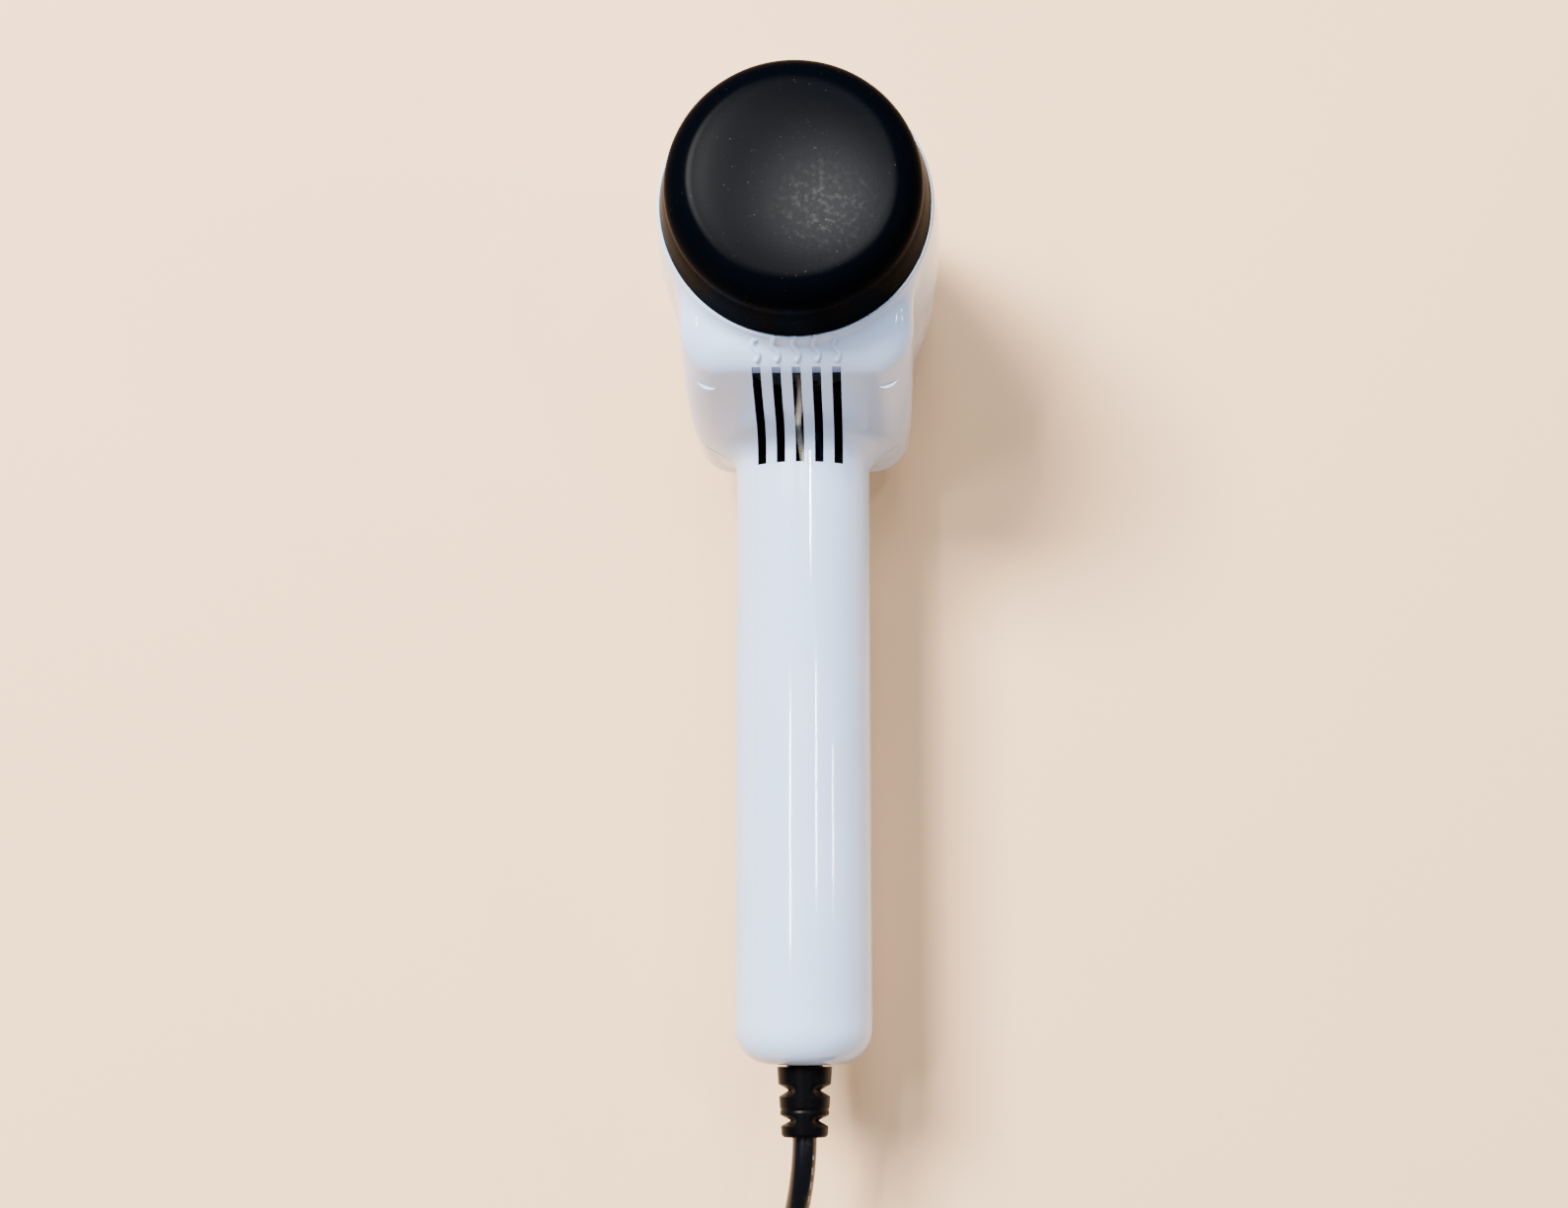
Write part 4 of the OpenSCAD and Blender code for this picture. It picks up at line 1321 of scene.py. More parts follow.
@dataclass
class DryerForm:
    """The outer form of the shells as a signed distance, below zero inside."""

    barrel_r: float
    rear_z: float
    foot_y: float
    axis_z: float
    wide_z: float = 62.0
    front_r: float = 33.6
    rear_r: float = 33.0
    collar_z: float = 10.0
    half_w: float = 28.0
    front_z: float = 22.0
    corner: float = 10.0
    wall_y: float = -49.5
    handle_x: float = 0.3
    neck_r: float = 16.9
    foot_r: float = 17.1
    foot_round: float = 9.0
    block_start: float = -12.0
    wall_round: float = 12.0
    lean: Point = (-0.935, 0.356)
    lean_at: Point = (-39.6, 92.0)
    roof_slope: float = 0.12
    roof_at: Point = (-36.0, 97.4)
    roof_scale: float = 0.993
    roof_round: float = 5.0
    front_round: float = 4.0
    neck_y: float = -54.0
    handle_run: float = 150.0
    handle_start: float = -25.0
    barrel_fillet: float = 2.5
    handle_fillet: float = 7.0

    def barrel(self, p: np.ndarray) -> np.ndarray:
        """Distance from the barrel, which bulges gently and has no ends."""
        z = p[:, 2]
        front = (self.barrel_r - self.front_r) / (self.wide_z - self.collar_z) ** 2
        rear = (self.barrel_r - self.rear_r) / (self.rear_z - self.wide_z) ** 2
        rate = np.where(z < self.wide_z, front, rear)
        radius = self.barrel_r - rate * (z - self.wide_z) ** 2
        slope = 2 * rate * (z - self.wide_z)
        return (np.hypot(p[:, 0], p[:, 1]) - radius) / np.sqrt(1 + slope**2)

    def block(self, p: np.ndarray) -> np.ndarray:
        """Distance from the block between the barrel and the handle."""
        x, y, z = p.T
        upright = self.wall_y - y
        leaning = self.lean[0] * (y - self.lean_at[0]) + self.lean[1] * (z - self.lean_at[1])
        wall = round_max(upright, leaning, self.wall_round)
        plan = round_max(np.abs(x) - self.half_w, wall, self.corner)
        roof = self.roof_at[1] + self.roof_slope * (y - self.roof_at[0])
        top = (z - roof) * self.roof_scale
        solid = round_max(plan, top, self.roof_round)
        solid = round_max(solid, self.front_z - z, self.front_round)
        return np.maximum(solid, y - self.block_start)

    def handle(self, p: np.ndarray) -> np.ndarray:
        """Distance from the handle, with its rounded foot."""
        y = p[:, 1]
        share = np.clip((self.neck_y - y) / self.handle_run, 0, 1)
        radius = self.neck_r + (self.foot_r - self.neck_r) * share
        side = np.hypot(p[:, 0] - self.handle_x, p[:, 2] - self.axis_z) - radius
        closed = round_max(side, self.foot_y - y, self.foot_round)
        return np.maximum(closed, y - self.handle_start)

    def __call__(self, p: np.ndarray) -> np.ndarray:
        """Distance from the whole form."""
        head = round_min(self.barrel(p), self.block(p), self.barrel_fillet)
        return round_min(head, self.handle(p), self.handle_fillet)

    def normal(self, p: np.ndarray) -> np.ndarray:
        """Unit normals of the form at points."""
        reach = 0.02
        steps = [np.eye(3)[k] * reach for k in range(3)]
        slope = np.column_stack([self(p + s) - self(p - s) for s in steps]) / (2 * reach)
        return slope / np.maximum(np.linalg.norm(slope, axis=1), 1e-9)[:, None]

    def onto(self, p: np.ndarray, rounds: int = 5) -> np.ndarray:
        """Moves points onto the surface."""
        for _ in range(rounds):
            p = p - self(p)[:, None] * self.normal(p)
        return p


def net_of(
    form: Callable[[np.ndarray], np.ndarray], low: Point, high: Point, cell: float
) -> Solid:
    """Finds a form's surface as a net of quads, one vertex in each cell that it crosses.

    Args:
        form: the signed distance.
        low: the lowest corner of the space that is searched.
        high: its highest corner.
        cell: the size of a cell.

    Returns:
        The open or closed net.
    """
    axes = [np.arange(a, b + cell, cell) for a, b in zip(low, high)]
    grid = np.stack(np.meshgrid(*axes, indexing="ij"), -1)
    shape = grid.shape[:3]
    value = form(grid.reshape(-1, 3)).reshape(shape)
    inside = value < 0
    corners = [(i, j, k) for i in (0, 1) for j in (0, 1) for k in (0, 1)]
    n = [s - 1 for s in shape]
    parts = [inside[i:i + n[0], j:j + n[1], k:k + n[2]] for i, j, k in corners]
    count = sum(p.astype(np.int8) for p in parts)
    cells = np.argwhere((count > 0) & (count < 8))
    number = np.full(n, -1, np.int64)
    number[tuple(cells.T)] = np.arange(len(cells))
    total = np.zeros((len(cells), 3))
    hits = np.zeros(len(cells))
    for a in corners:
        for axis in range(3):
            if a[axis]:
                continue
            b = tuple(v + (k == axis) for k, v in enumerate(a))
            ia, ib = tuple((cells + a).T), tuple((cells + b).T)
            va, vb = value[ia], value[ib]
            cross = (va < 0) != (vb < 0)
            t = np.where(cross, va / np.where(cross, va - vb, 1), 0)[:, None]
            total += np.where(cross[:, None], grid[ia] * (1 - t) + grid[ib] * t, 0)
            hits += cross
    verts = total / hits[:, None]
    # each grid edge that crosses the surface gives one quad, between the four cells round it
    faces = []
    for axis, (u, v) in enumerate([(1, 2), (2, 0), (0, 1)]):
        first = inside[tuple(slice(0, -1) if k == axis else slice(1, -1) for k in range(3))]
        second = inside[tuple(slice(1, None) if k == axis else slice(1, -1) for k in range(3))]
        edges = np.argwhere(first != second)
        flip = first[tuple(edges.T)]
        at = edges + np.array([0 if k == axis else 1 for k in range(3)])
        eu, ev = np.eye(3, dtype=int)[u], np.eye(3, dtype=int)[v]
        round_edge = (eu + ev, ev, np.zeros(3, int), eu)
        ring = np.column_stack([number[tuple((at - d).T)] for d in round_edge])
        ring = np.where(flip[:, None], ring, ring[:, ::-1])
        faces += [tuple(f) for f in ring.tolist()]
    return Solid(verts, faces)


@dataclass
class Shells:
    """The two shells of the housing with their slots, vents, bosses and screws."""

    wall: float = 2.2
    cell: float = 1.1
    seam: float = 0.12
    chamfer: float = 0.3
    slot_pitch: float = 4.8
    slot_w: float = 2.15
    slots: int = 5
    slot_y: Point = (-54.4, -38.0)
    slot_z: Point = (54.0, 110.0)
    vents: int = 11
    vent_step: float = 7.2
    wave_width: float = 1.3
    wave_points: int = 25
    waves_above: float = 120.0
    spots: Sequence[Point] = ((-21.0, -37.8), (21.0, -37.8), (0.0, -126.0), (0.0, -164.0))
    block_post_top: float = 86.0
    pilot_r: float = 1.5
    pilot_depth: float = 10.0
    post_r: float = 3.6
    sleeve_r: float = 4.4
    head_hole_r: float = 3.1
    head_seat: float = 36.0
    gland_r: float = 4.6
    gland_at: float = 0.5
    lug_azimuths: Sequence[float] = (135, 255, 15)
    # faces deeper than this under the outer surface take the painted shade
    painted_shade_from: float = -1.9
    alike: float = 0.93

    def __post_init__(self) -> None:
        """Takes the form's driving sizes from the frame."""
        low, high = box_mm("rear_shell")
        core = box_mm("cord_core")
        mounts = {mount["name"]: mount for mount in frame["record"]["mounts"]}
        self.collar_r = mounts["outlet_collar"]["dims"]["r_mm"]
        self.form = DryerForm(barrel_r=high[0], rear_z=high[2], foot_y=low[1],
                              axis_z=(core[0][2] + core[1][2]) / 2)
        MATERIALS["white_shell"] = ShellFinish().make()
        # near-black painted shade for the shells' inner faces
        MATERIALS["shell_inside"] = InsideShadeFinish().make()

    def net(self) -> Solid:
        """The whole outer surface, with evened and settled points."""
        form = self.form
        low = (-form.barrel_r - 2.6, form.foot_y - 2.3, 7.15)
        high = (form.barrel_r + 2.6, form.barrel_r + 2.3, form.rear_z + 2.6)
        net = net_of(form, low, high, self.cell)
        net.verts = form.onto(net.verts)
        return net

    def skin(self, net: Solid, half: Half) -> Solid:
        """Cuts one shell's outer skin from the net and finishes its edges.

        Args:
            net: the whole surface.
            half: which shell.

        Returns:
            The open outer skin.
        """
        form, up = self.form, half is Half.REAR
        mesh = net.mesh("skin")
        tool = bmesh.new()
        tool.from_mesh(mesh)
        seam = form.axis_z + half.value * self.seam
        edge = form.rear_z if up else form.collar_z

        def slice_at(z: float, keep_above: bool | None) -> None:
            """Cuts the skin at a height and drops one side, or none."""
            everything = [*tool.verts, *tool.edges, *tool.faces]
            bmesh.ops.bisect_plane(tool, geom=everything, plane_co=(0, 0, z * MM),
                                   plane_no=(0, 0, 1), dist=MERGE, clear_inner=keep_above is True,
                                   clear_outer=keep_above is False)

        slice_at(seam, up)
        slice_at(edge, not up)
        slice_at(seam + half.value * 0.35, None)
        if up:
            slice_at(edge - 0.4, None)
        else:
            # the collar: a step inwards, a straight wall and a small round at the rim
            for radius, z in [(self.collar_r, edge), (self.collar_r, 5.0), (self.collar_r, 0.5),
                              (self.collar_r - 0.15, 0.12), (self.collar_r - 0.5, 0.0)]:
                below = (edge + 0.01) * MM
                rim = [e for e in tool.edges
                       if e.is_boundary and all(v.co.z < below for v in e.verts)]
                made = bmesh.ops.extrude_edge_only(tool, edges=rim)["geom"]
                for v in (g for g in made if isinstance(g, bmesh.types.BMVert)):
                    flat = math.hypot(v.co.x, v.co.y)
                    v.co = (v.co.x / flat * radius * MM, v.co.y / flat * radius * MM, z * MM)
        tool.verts.index_update()
        verts = np.array([v.co for v in tool.verts]) / MM
        faces = [tuple(v.index for v in f.verts) for f in tool.faces]
        tool.free()
        bpy.data.meshes.remove(mesh)
        rims = [seam] + ([edge] if up else [])
        on_rim = np.any([np.abs(verts[:, 2] - z) < 1e-3 for z in rims], axis=0)
        verts[on_rim] -= form.normal(verts[on_rim]) * (self.chamfer, self.chamfer, 0)
        return Solid(verts, faces)

    def walled(self, skin: Solid) -> Solid:
        """Gives an outer skin its wall.

        Args:
            skin: the open outer skin.

        Returns:
            A closed solid.
        """
        verts, faces = skin.verts, skin.faces
        normal = self.form.normal(verts)
        collar = verts[:, 2] < self.form.collar_z + 1e-3
        radial = verts[collar] * (1, 1, 0)
        normal[collar] = radial / np.linalg.norm(radial, axis=1)[:, None]
        inner = verts - normal * self.wall
        use: dict[tuple[int, int], int] = {}
        for face in faces:
            for a, b in zip(face, face[1:] + face[:1]):
                use[(a, b)] = use.get((a, b), 0) + 1
        border = [(a, b) for a, b in use if (b, a) not in use]
        rim = sorted({i for edge in border for i in edge})
        inner[rim, 2] = verts[rim, 2]
        count = len(verts)
        back = [tuple(i + count for i in reversed(face)) for face in faces]
        sides = [(b, a, a + count, b + count) for a, b in border]
        return Solid(np.vstack([verts, inner]), faces + back + sides)

    def slot_tools(self) -> Solid:
        """The cutters of the neck slots and of the intake vents."""
        cutters = []
        first = -(self.slots - 1) / 2 * self.slot_pitch
        (start, end), (low, high) = self.slot_y, self.slot_z
        for k in range(self.slots):
            x, half = first + k * self.slot_pitch, self.slot_w / 2
            cutters.append(brick((x - half, start, low), (x + half, end, high)))
        for k in range(self.vents):
            turn = 90 + (k - (self.vents - 1) / 2) * self.vent_step
            cutters.append(brick((29, -1.2, 85), (40, 1.2, 96)).turned(turn, "Z"))
        return together(cutters)

    def gland(self) -> Solid:
        """The cutter of the strain relief's hole in the handle's foot."""
        hole = lathe([(0, 0), (self.gland_r, 0), (self.gland_r, 8), (0, 8)], 48).turned(-90, "X")
        return hole.moved((self.gland_at, self.form.foot_y - 2, self.form.axis_z))

    def rear(self, net: Solid) -> bpy.types.Object:
        """The rear shell, with the cap's seat, the screw posts and a baffle behind the slots."""
        form = self.form
        walled = self.walled(self.skin(net, Half.REAR))
        shell = link("rear_shell_moulding", walled.mesh("rear_shell"))
        outward(shell.data)
        handle_top = form.axis_z + form.neck_r - self.wall / 2
        foot, pilot = form.axis_z + self.seam, form.axis_z + self.pilot_depth
        posts = []
        for x, y in self.spots:
            top = handle_top if x == 0 else self.block_post_top
            outline = [(self.post_r, foot), (self.post_r, top), (0, top), (0, pilot),
                       (self.pilot_r, pilot), (self.pilot_r, foot)]
            posts.append(lathe(outline, 40).moved((x, y, 0)))
        baffle = brick((-12.5, self.slot_y[1], 88.5), (12.5, self.slot_y[1] + 1.6, 94.2))
        low, high = form.rear_z - 2, form.rear_z - 0.05
        lip = lathe([(29.5, low), (31.9, low), (31.9, high), (29.5, high)], 96)
        notches = [sector(28.5, 30.9, form.rear_z - 3, form.rear_z + 2, azimuth, 28)
                   for azimuth in self.lug_azimuths]
        work(shell, [(Join.ADD, lip), (Join.CUT, together(notches)), (Join.ADD, together(posts)),
                     (Join.ADD, baffle), (Join.CUT, self.slot_tools()), (Join.CUT, self.gland())])
        return self.dressed(shell)

    def front(self, net: Solid) -> bpy.types.Object:
        """The front shell, with the screw holes, the heater's ledge and the switch window."""
        form, seat = self.form, self.head_seat
        walled = self.walled(self.skin(net, Half.FRONT))
        shell = link("front_shell_moulding", walled.mesh("front_shell"))
        outward(shell.data)
        top = form.axis_z - self.seam
        posts, holes = [], []
        for x, y in self.spots:
            low = form.axis_z - form.neck_r if x == 0 else form.front_z
            low += self.wall / 2
            sleeve = lathe([(0, low), (self.sleeve_r, low), (self.sleeve_r, top), (0, top)], 40)
            hole = lathe([(0, 0), (self.head_hole_r, 0), (self.head_hole_r, seat),
                          (self.pilot_r, seat), (self.pilot_r, 60), (0, 60)], 40)
            posts.append(sleeve.moved((x, y, 0)))
            holes.append(hole.moved((x, y, 0)))
        ledge = lathe([(28.5, 41.5), (33.0, 41.5), (33.0, 43.5), (28.5, 43.5)], 96)
        notch = brick((-5, -36, 40), (5, -27, 45))
        lip = lathe([(29.4, 0.05), (31.2, 0.05), (31.2, 1.3), (29.4, 1.3)], 96)
        low, high = box_mm("switch_plate")
        window = brick((low[0] - 0.1, low[1] - 0.1, 20), (high[0] + 0.1, high[1] + 0.1, 40))
        work(shell, [(Join.ADD, ledge), (Join.ADD, lip), (Join.ADD, together(posts)),
                     (Join.CUT, together(holes)), (Join.CUT, window), (Join.CUT, notch),
                     (Join.CUT, self.gland())])
        return self.dressed(shell)

    def dressed(self, shell: bpy.types.Object) -> bpy.types.Object:
        """Gives a shell its white finish, the painted shade on its inner faces and the form's own
        smooth normals.

        Args:
            shell: the worked shell.

        Returns:
            The same object.
        """
        mesh = shell.data
        mesh.materials.clear()
        mesh.materials.append(MATERIALS["white_shell"])
        mesh.materials.append(MATERIALS["shell_inside"])
        mesh.shade_smooth()
        place = np.zeros(len(mesh.vertices) * 3)
        centre, flat = np.zeros(len(mesh.polygons) * 3), np.zeros(len(mesh.polygons) * 3)
        mesh.vertices.foreach_get("co", place)
        mesh.polygons.foreach_get("center", centre)
        mesh.polygons.foreach_get("normal", flat)
        place, centre = place.reshape(-1, 3) / MM, centre.reshape(-1, 3) / MM
        flat = flat.reshape(-1, 3)
        # faces well under the outer surface take the painted shade of the inside, but for the
        # slots' upper ends
        depth = self.form(centre)
        collar = centre[:, 2] < self.form.collar_z + 0.2
        depth[collar] = np.hypot(centre[collar, 0], centre[collar, 1]) - self.collar_r
        slot_end = (flat[:, 1] < -0.9) & (np.abs(centre[:, 1] - self.slot_y[1]) < 0.05)
        dark = (depth < self.painted_shade_from) & ~slot_end
        mesh.polygons.foreach_set("material_index", dark.astype(np.int32))
        # a corner on the outer or the inner wall takes the form's own normal, where its face agrees
        corner = np.zeros(len(mesh.loops), np.int32)
        mesh.loops.foreach_get("vertex_index", corner)
        sizes = np.zeros(len(mesh.polygons), np.int32)
        mesh.polygons.foreach_get("loop_total", sizes)
        facing = np.repeat(flat, sizes, axis=0)
        value = self.form(place)[corner]
        outer, inner = np.abs(value) < 0.15, np.abs(value + self.wall) < 0.3
        side = np.where(outer, 1.0, np.where(inner, -1.0, 0.0))
        smooth = self.form.normal(place)[corner] * side[:, None]
        agree = np.einsum("ij,ij->i", smooth, facing) > self.alike
        ring = place[corner]
        radial = ring * (1, 1, 0)
        radial /= np.maximum(np.linalg.norm(radial, axis=1), 1e-9)[:, None]
        low = ring[:, 2] < self.form.collar_z + 1e-3
        low &= np.einsum("ij,ij->i", radial, facing) > self.alike
        chosen = np.where(agree[:, None], smooth, facing)
        chosen = np.where((low & ~agree)[:, None], radial, chosen)
        mesh.normals_split_custom_set(chosen.tolist())
        return shell

    def heat_lines(self, shell: bpy.types.Object) -> bpy.types.Object:
        """Five raised wavy lines between the cap and the slots, laid on the shell's surface.

        Args:
            shell: the rear shell that they stand on.

        Returns:
            The lines as one object.
        """
        maker = Maker("heat_lines", {"Lines": 5, "Pitch": 0.0048, "Width": 0.001, "Wave": 0.0007,
                                     "Start": -0.0368, "Length": 0.0046})
        share = maker.index() * (1 / (self.wave_points - 1))
        wave = (share * TURN).math("SINE") * maker.size("Wave")
        along = maker.size("Start") + share * maker.size("Length")
        above = maker.vector(wave, along, self.waves_above * MM)
        line = maker.placed(maker.row(self.wave_points), above)
        row = maker.centred_row(maker.size("Lines"), maker.size("Pitch"), "X")
        lines = maker.realized(maker.repeat(row, line))
        values = {"Target Geometry": maker.shape_of(shell), "Ray Direction": (0, 0, -1),
                  "Ray Length": 0.1}
        ray = maker.add("GeometryNodeRaycast", {}, values)
        lines = maker.placed(lines, maker.out(ray, "Hit Position"))
        solid = maker.sweep(lines, maker.size("Width") * 0.5, 12)
        maker.close(solid, MATERIALS["white_shell"])
        made = maker.run("heat_lines", Width=self.wave_width * MM, Pitch=self.slot_pitch * MM,
                         Lines=self.slots)
        return shade(made, 70)

    def screws(self) -> bpy.types.Object:
        """The four shell screws, pan heads with a cross recess, set on their spots."""
        low, high = box_mm("shell_screws")
        head_r = (high[0] - low[0] - (self.spots[1][0] - self.spots[0][0])) / 2
        z, dome, head, shank, half = low[2], 0.9, 2.0, 1.45, 0.35
        outline = [(head_r * math.cos(a), z + dome - dome * math.sin(a))
                   for a in np.radians(range(80, -1, -10))]
        profile = [(0, z), *outline, (head_r, z + head), (shank, z + head),
                   (shank, high[2] - 1.2), (0.5, high[2]), (0, high[2])]
        screw = lathe(profile, 36).piece("screw", finish("screw_steel"))
        work(screw, [(Join.CUT, brick((-1.6, -half, z - 1), (1.6, half, z + 1.1))),
                     (Join.CUT, brick((-half, -1.6, z - 1), (half, 1.6, z + 1.1)))])
        maker = Maker("set_on_spots", {"Size": 1.0})
        scale = maker.vector(maker.size("Size"), maker.size("Size"), 1.0)
        placed = maker.repeat(maker.size("Geometry"), maker.shape_of(screw), scale)
        maker.close(placed, finish("screw_steel"))
        spots = Solid(np.array([(x, y, 0) for x, y in self.spots], float), [])
        screws = maker.run("shell_screw_set", spots, Size=1.0)
        bpy.data.objects.remove(screw)
        return shade(screws)

    def build(self) -> None:
        """Makes both shells and what is fixed in them."""
        net = self.net()
        rear = self.rear(net)
        put(self.heat_lines(rear), "housing", "white_shell")
        put(rear, "housing", "white_shell", "rear_shell")
        put(self.front(net), "housing", "white_shell", "front_shell")
        put(self.screws(), "housing", "screw_steel", "shell_screws")


# ---------------------------------------------------------------- rear cap


@dataclass
class RearCap:
    """The closed black cap with its skirt, shoulder and slightly domed face."""

    skirt_h: float = 12.0
    skirt_top_r: float = 30.5
    face_r: float = 24.0
    face_round: float = 1.0
    spigot_r: float = 29.2
    lug_r: float = 30.5
    lug_azimuths: Sequence[float] = (90, 210, 330)
    dome: float = 0.55
    wall: float = 1.9
    gap: float = 0.3
    rim_round: float = 0.35
    bulge: float = 0.85
    fullness: float = 0.92

    def profile(self, radius: float, base: float, top: float) -> list[Point]:
        """The cap's section, outside from the rim to the middle and inside back again.

        Args:
            radius: the rim's radius.
            base: the rim's height.
            top: the height of the face's middle.

        Returns:
            Points (radius, z).
        """
        flat = self.face_r - self.face_round
        shoulder = top - self.dome - base - self.skirt_h
        outside = [(radius - self.rim_round, base), (radius, base + self.rim_round)]
        outside += [(radius - (radius - self.skirt_top_r) * t, base + self.skirt_h * t)
                    for t in (0.3, 0.6, 0.94)]
        skirt = len(outside)
        for a in np.radians(range(0, 91, 5)):
            reach = (self.skirt_top_r + self.bulge - self.face_r) * math.cos(a) ** self.fullness
            rise = (shoulder - 0.4) * math.sin(a)
            outside.append((flat + reach, base + self.skirt_h + 0.4 + rise))
        outside += [(flat * share, top - self.dome * share**3.0)
                    for share in np.linspace(0.9, 0.08, 10)]
        inside = [(max(r - self.wall, 0.4) if r > 6 else r, z - self.wall)
                  for r, z in outside[skirt:]]
        inside = [(radius - 2.0, base)] + [(r, z) for r, z in inside if z > base + 2]
        return [*outside, (0, top), (0, top - self.wall), *inside[:0:-1], inside[0]]

    def lugs(self, radius: float, low: float, base: float) -> Solid:
        """The three lugs, each with its spigot and the web that carries it.

        Args:
            radius: the cap's outer radius.
            low: the lugs' lower height.
            base: the rim's height.

        Returns:
            All of them as one solid.
        """
        spigot = self.spigot_r
        parts = []
        for azimuth in self.lug_azimuths:
            parts.append(sector(spigot - 1.8, spigot, low, low + 8, azimuth, 40))
            parts.append(sector(spigot - 1.0, radius - 1.2, base + 1, base + 3, azimuth, 40))
            parts.append(sector(spigot - 1.0, self.lug_r, low, low + 1.6, azimuth, 24))
        return together(parts)

    def build(self) -> None:
        """Makes the cap with its three lugs."""
        low, high = box_mm("rear_cap")
        top, base, radius = high[2], box_mm("rear_shell")[1][2] + self.gap, high[0]
        MATERIALS["black_cap"] = CapFinish(top).make()
        outline = self.profile(radius, base, top)
        cap = lathe(outline, 144).piece("rear_cap_moulding", MATERIALS["black_cap"], angle=24)
        work(cap, [(Join.ADD, self.lugs(radius, low[2], base))])
        cap.data.materials.clear()
        cap.data.materials.append(MATERIALS["black_cap"])
        put(shade(cap, 24), "cap", "black_cap", "rear_cap")


# ---------------------------------------------------------------- controls, heater and leads


@dataclass
class Controls:
    """The two ribbed sliders, the cool button and its spring."""

    knob_h: float = 2.7
    stem_half: float = 1.6
    ribs: int = 5
    rib_pitch: float = 1.5
    spring_turns: float = 3.5
    wire_r: float = 0.35

    def slider(self, node: str) -> bpy.types.Object:
        """A slider's knob with a row of ribs, and its stem."""
        low, high = box_mm(node)
        (x, y, _), half = (low + high) / 2, self.stem_half
        dark = finish("dark_plastic")
        base = brick((low[0], low[1], low[2] + 0.8), (high[0], high[1], low[2] + self.knob_h))
        knob = base.piece(node + "_knob", dark, 0.5)
        stem = brick((x - half, y - half, low[2] + 1), (x + half, y + half, high[2]))
        rib = brick((-3.9, -0.4, 0), (3.9, 0.4, 1.6)).piece("rib", dark, 0.3)
        maker = Maker(node + "_ribs", {"Ribs": 5, "Pitch": 0.0015})
        row = maker.centred_row(maker.size("Ribs"), maker.size("Pitch"), "Y")
        maker.close(maker.repeat(row, maker.shape_of(rib)), dark)
        ribs = maker.run(node + "_ribs", Ribs=self.ribs, Pitch=self.rib_pitch * MM)
        ribs.data.transform(Matrix.Translation(Vector((x, y, low[2] + 0.05)) * MM))
        bpy.data.objects.remove(rib)
        return merged(node + "_knob", [knob, ribs, stem.piece("stem", dark, 0.2)])

    def button(self) -> bpy.types.Object:
        """The round cool button, dished where the finger rests."""
        low, high = box_mm("cool_button")
        centre = (low + high) / 2
        radius = (high[0] - low[0]) / 2
        foot, back, stem = low[2], high[2] - 3.8, 2.2
        dish = [(0, foot + 0.5), (radius * 0.4, foot + 0.36), (radius * 0.72, foot + 0.08),
                (radius * 0.82, foot), (radius - 0.3, foot + 0.12), (radius, foot + 0.5)]
        profile = [*dish, (radius, back - 0.2), (radius - 0.2, back), (stem, back),
                   (stem, high[2]), (0, high[2])]
        key = lathe(profile, 64).moved((centre[0], centre[1], 0))
        return key.piece("cool_key", finish("blue_button"), angle=40)

    def spring(self) -> bpy.types.Object:
        """The spring under the cool button, wound by a tree."""
        low, high = box_mm("cool_spring")
        centre = (low + high) / 2
        maker = Maker("spiral_spring", {"Points": 90, "Turns": 3.5, "Radius": 0.0029,
                                        "Rise": 0.004, "Wire": 0.0003})
        share = maker.index() / (maker.size("Points") - 1.0)
        angle = share * maker.size("Turns") * TURN
        x, y = [angle.math(kind) * maker.size("Radius") for kind in ("COSINE", "SINE")]
        place = maker.vector(x, y, share * maker.size("Rise"))
        wire = maker.wire(maker.size("Points"), place, maker.size("Wire"), 10)
        maker.close(wire, finish("spring_steel"))
        rise = high[2] - low[2] - 2 * self.wire_r
        spring = maker.run("cool_button_spring", Turns=self.spring_turns, Rise=rise * MM,
                           Wire=self.wire_r * MM)
        foot = Vector((centre[0], centre[1], low[2] + self.wire_r)) * MM
        spring.data.transform(Matrix.Translation(foot))
        return shade(spring, 70)

    def build(self) -> None:
        """Makes the controls."""
        put(self.slider("speed_slider"), "speed_control", "dark_plastic", "speed_slider")
        put(self.slider("heat_slider"), "heat_control", "dark_plastic", "heat_slider")
        put(self.button(), "cool_control", "blue_button", "cool_button")
        spring = put(self.spring(), "housing", "spring_steel", "cool_spring")
        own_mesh(spring)


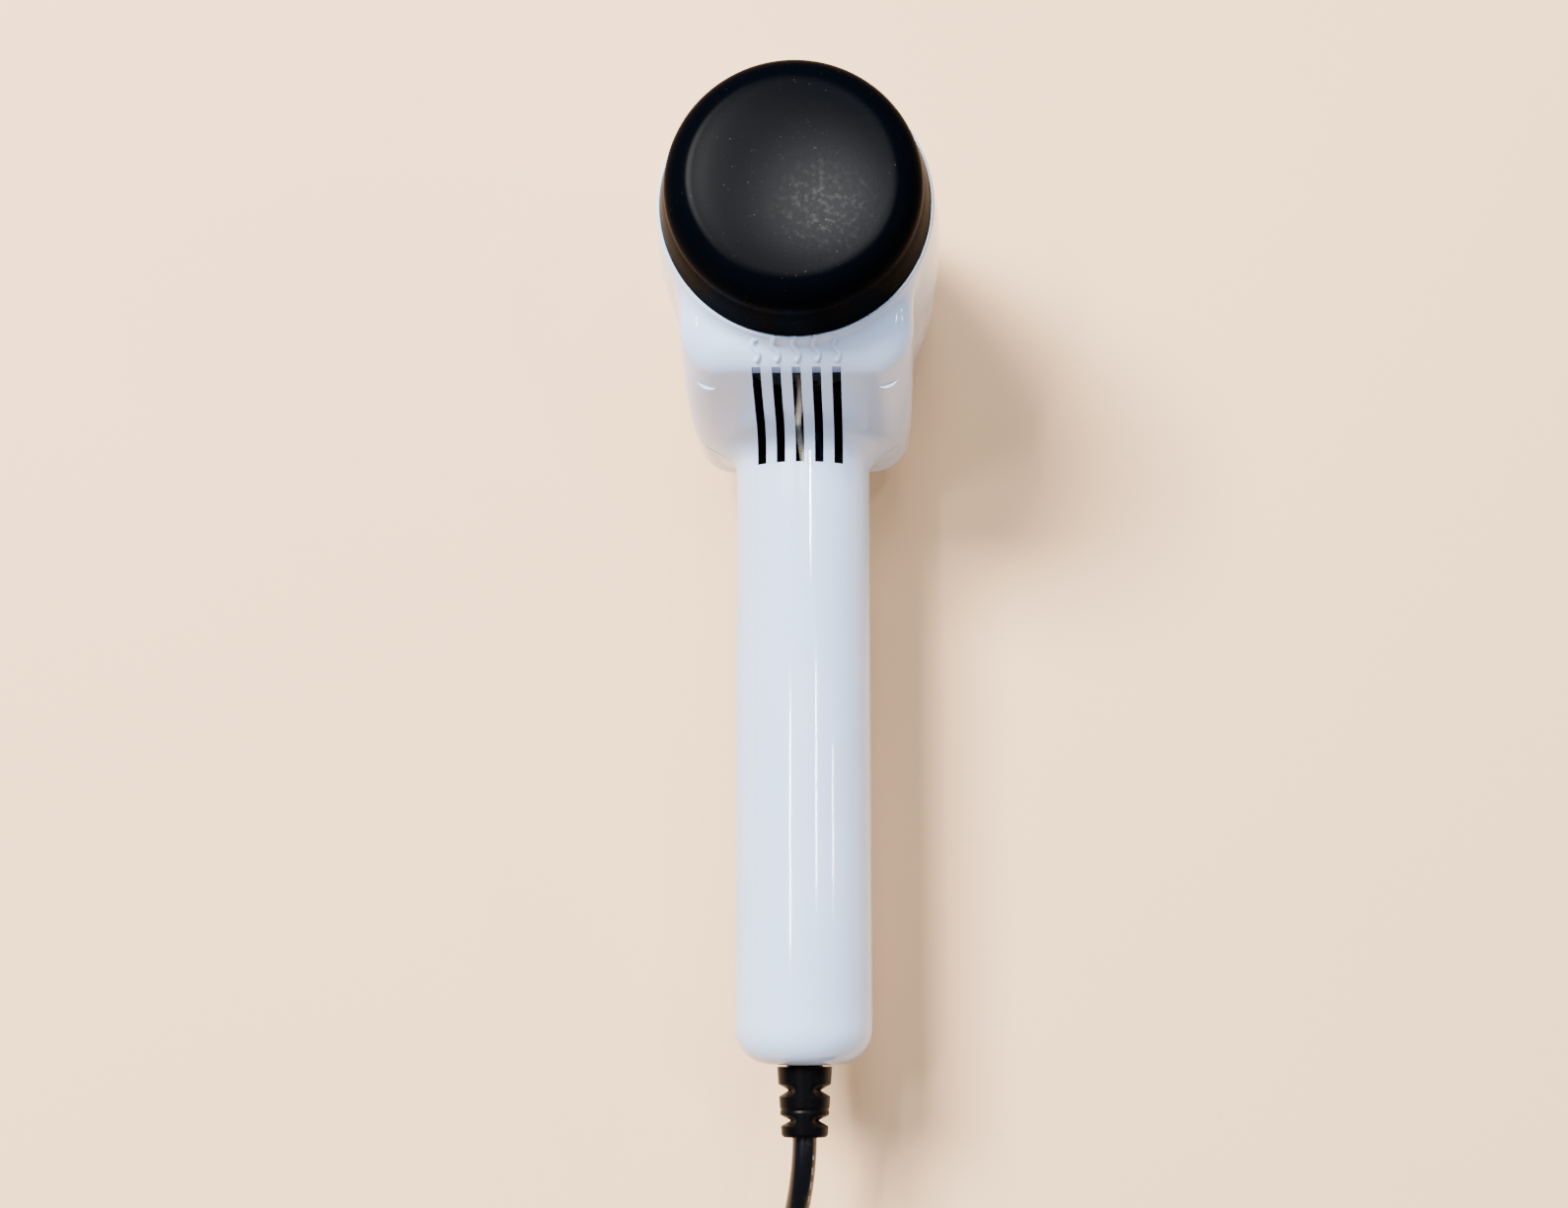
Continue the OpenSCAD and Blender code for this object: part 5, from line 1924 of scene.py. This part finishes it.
@dataclass
class Heater:
    """The heating coils, each a fine helix bent into a ring."""

    rings: int = 5
    ring_r: float = 24.5
    turns: int = 72
    wire_r: float = 0.28
    turn_points: int = 12
    closing: float = 0.996

    def build(self) -> None:
        """Makes the coils with one tree."""
        low, high = box_mm("heater_coils")
        minor = high[0] - self.ring_r - self.wire_r
        pitch = (high[2] - low[2] - 2 * (high[0] - self.ring_r)) / (self.rings - 1)
        maker = Maker("coil_rings", {"Rings": 5, "Pitch": 0.006, "Ring radius": 0.0245,
                                     "Coil radius": 0.0015, "Turns": 70, "Wire": 0.0003})
        count = maker.size("Turns") * float(self.turn_points)
        around = maker.index() / (count - 1.0) * (TURN * self.closing)
        twist = maker.index() * (TURN / self.turn_points)
        reach = maker.size("Ring radius") + twist.math("COSINE") * maker.size("Coil radius")
        x, y = [around.math(kind) * reach for kind in ("COSINE", "SINE")]
        place = maker.vector(x, y, twist.math("SINE") * maker.size("Coil radius"))
        wire = maker.wire(count, place, maker.size("Wire"), 5)
        row = maker.row(maker.size("Rings"), maker.vector(0, 0, maker.size("Pitch")))
        maker.close(maker.repeat(row, wire), finish("nichrome"))
        radii = {"Ring radius": self.ring_r * MM, "Coil radius": minor * MM}
        coils = maker.run("heating_coils", Rings=self.rings, Pitch=pitch * MM, Turns=self.turns,
                          Wire=self.wire_r * MM, **radii)
        foot = Vector((0, 0, low[2] + high[0] - self.ring_r)) * MM
        coils.data.transform(Matrix.Translation(foot))
        put(shade(coils, 70), "housing", "nichrome", "heater_coils")


@dataclass
class Leads:
    """The four insulated leads inside the housing."""

    radius: float = 0.8
    step: float = 1.0

    def routes(self) -> dict[str, tuple[str, list[Point]]]:
        """The slot and the points of each lead, by CAD node."""
        return {
            "heater_lead": ("cream_lead", [
                (1, -96, 46), (1, -88, 52), (2, -78, 56), (2.5, -66, 57), (1.2, -57, 57.8),
                (0.2, -50.5, 58.2), (-0.3, -46.4, 59.6), (-0.4, -45.2, 63), (-0.3, -44.6, 68),
                (0.3, -41.4, 75), (0.5, -38, 79), (0.2, -35.4, 78), (-0.4, -34.2, 72),
                (-0.5, -33.4, 60), (0, -33.4, 46), (0, -32.4, 36), (0, -31.2, 32)]),
            "motor_lead": ("blue_lead", [
                (4, -90, 47), (6.5, -84, 53), (7, -70, 56), (6.5, -58, 56), (5, -48, 54),
                (3, -40, 50), (2, -34, 47.6), (1.6, -28, 46.4), (2, -22, 45.4), (3, -14, 44.4)]),
            "neutral_lead": ("blue_lead", [
                (1.7, -173.5, 46), (6, -168, 51.5), (11, -160, 52), (11.4, -140, 52),
                (11.4, -120, 52), (11, -112, 52), (9, -105, 50), (5, -102.4, 47.4),
                (2.6, -101.6, 45.6)]),
            "live_lead": ("brown_lead", [
                (-0.7, -173.5, 46), (-6, -168, 51.5), (-11, -160, 52), (-11.4, -140, 52),
                (-11.4, -110, 52), (-10, -92, 50), (-6, -82, 47.5), (-2.6, -79, 45.6)]),
        }

    def build(self) -> None:
        """Makes the leads."""
        for node, (slot, points) in self.routes().items():
            solid, _ = tube(smooth_route(np.array(points, float), self.step), self.radius, 12)
            put(solid.piece(node + "_wire", finish(slot), angle=60), "housing", slot, node)


def main() -> None:
    """Builds every sub-assembly in order."""
    logging.basicConfig(level=logging.INFO, format="%(message)s")
    Studio().build()
    Cord().build()
    Shells().build()
    RearCap().build()
    Controls().build()
    Heater().build()
    Leads().build()
    slots = {part["node"]: part["material_slot"] for part in frame["record"]["subparts"]}
    for node, thing in frame["nodes"].items():
        if not thing.hide_render:
            dress(slots[node], node)


if __name__ == "__main__":
    main()
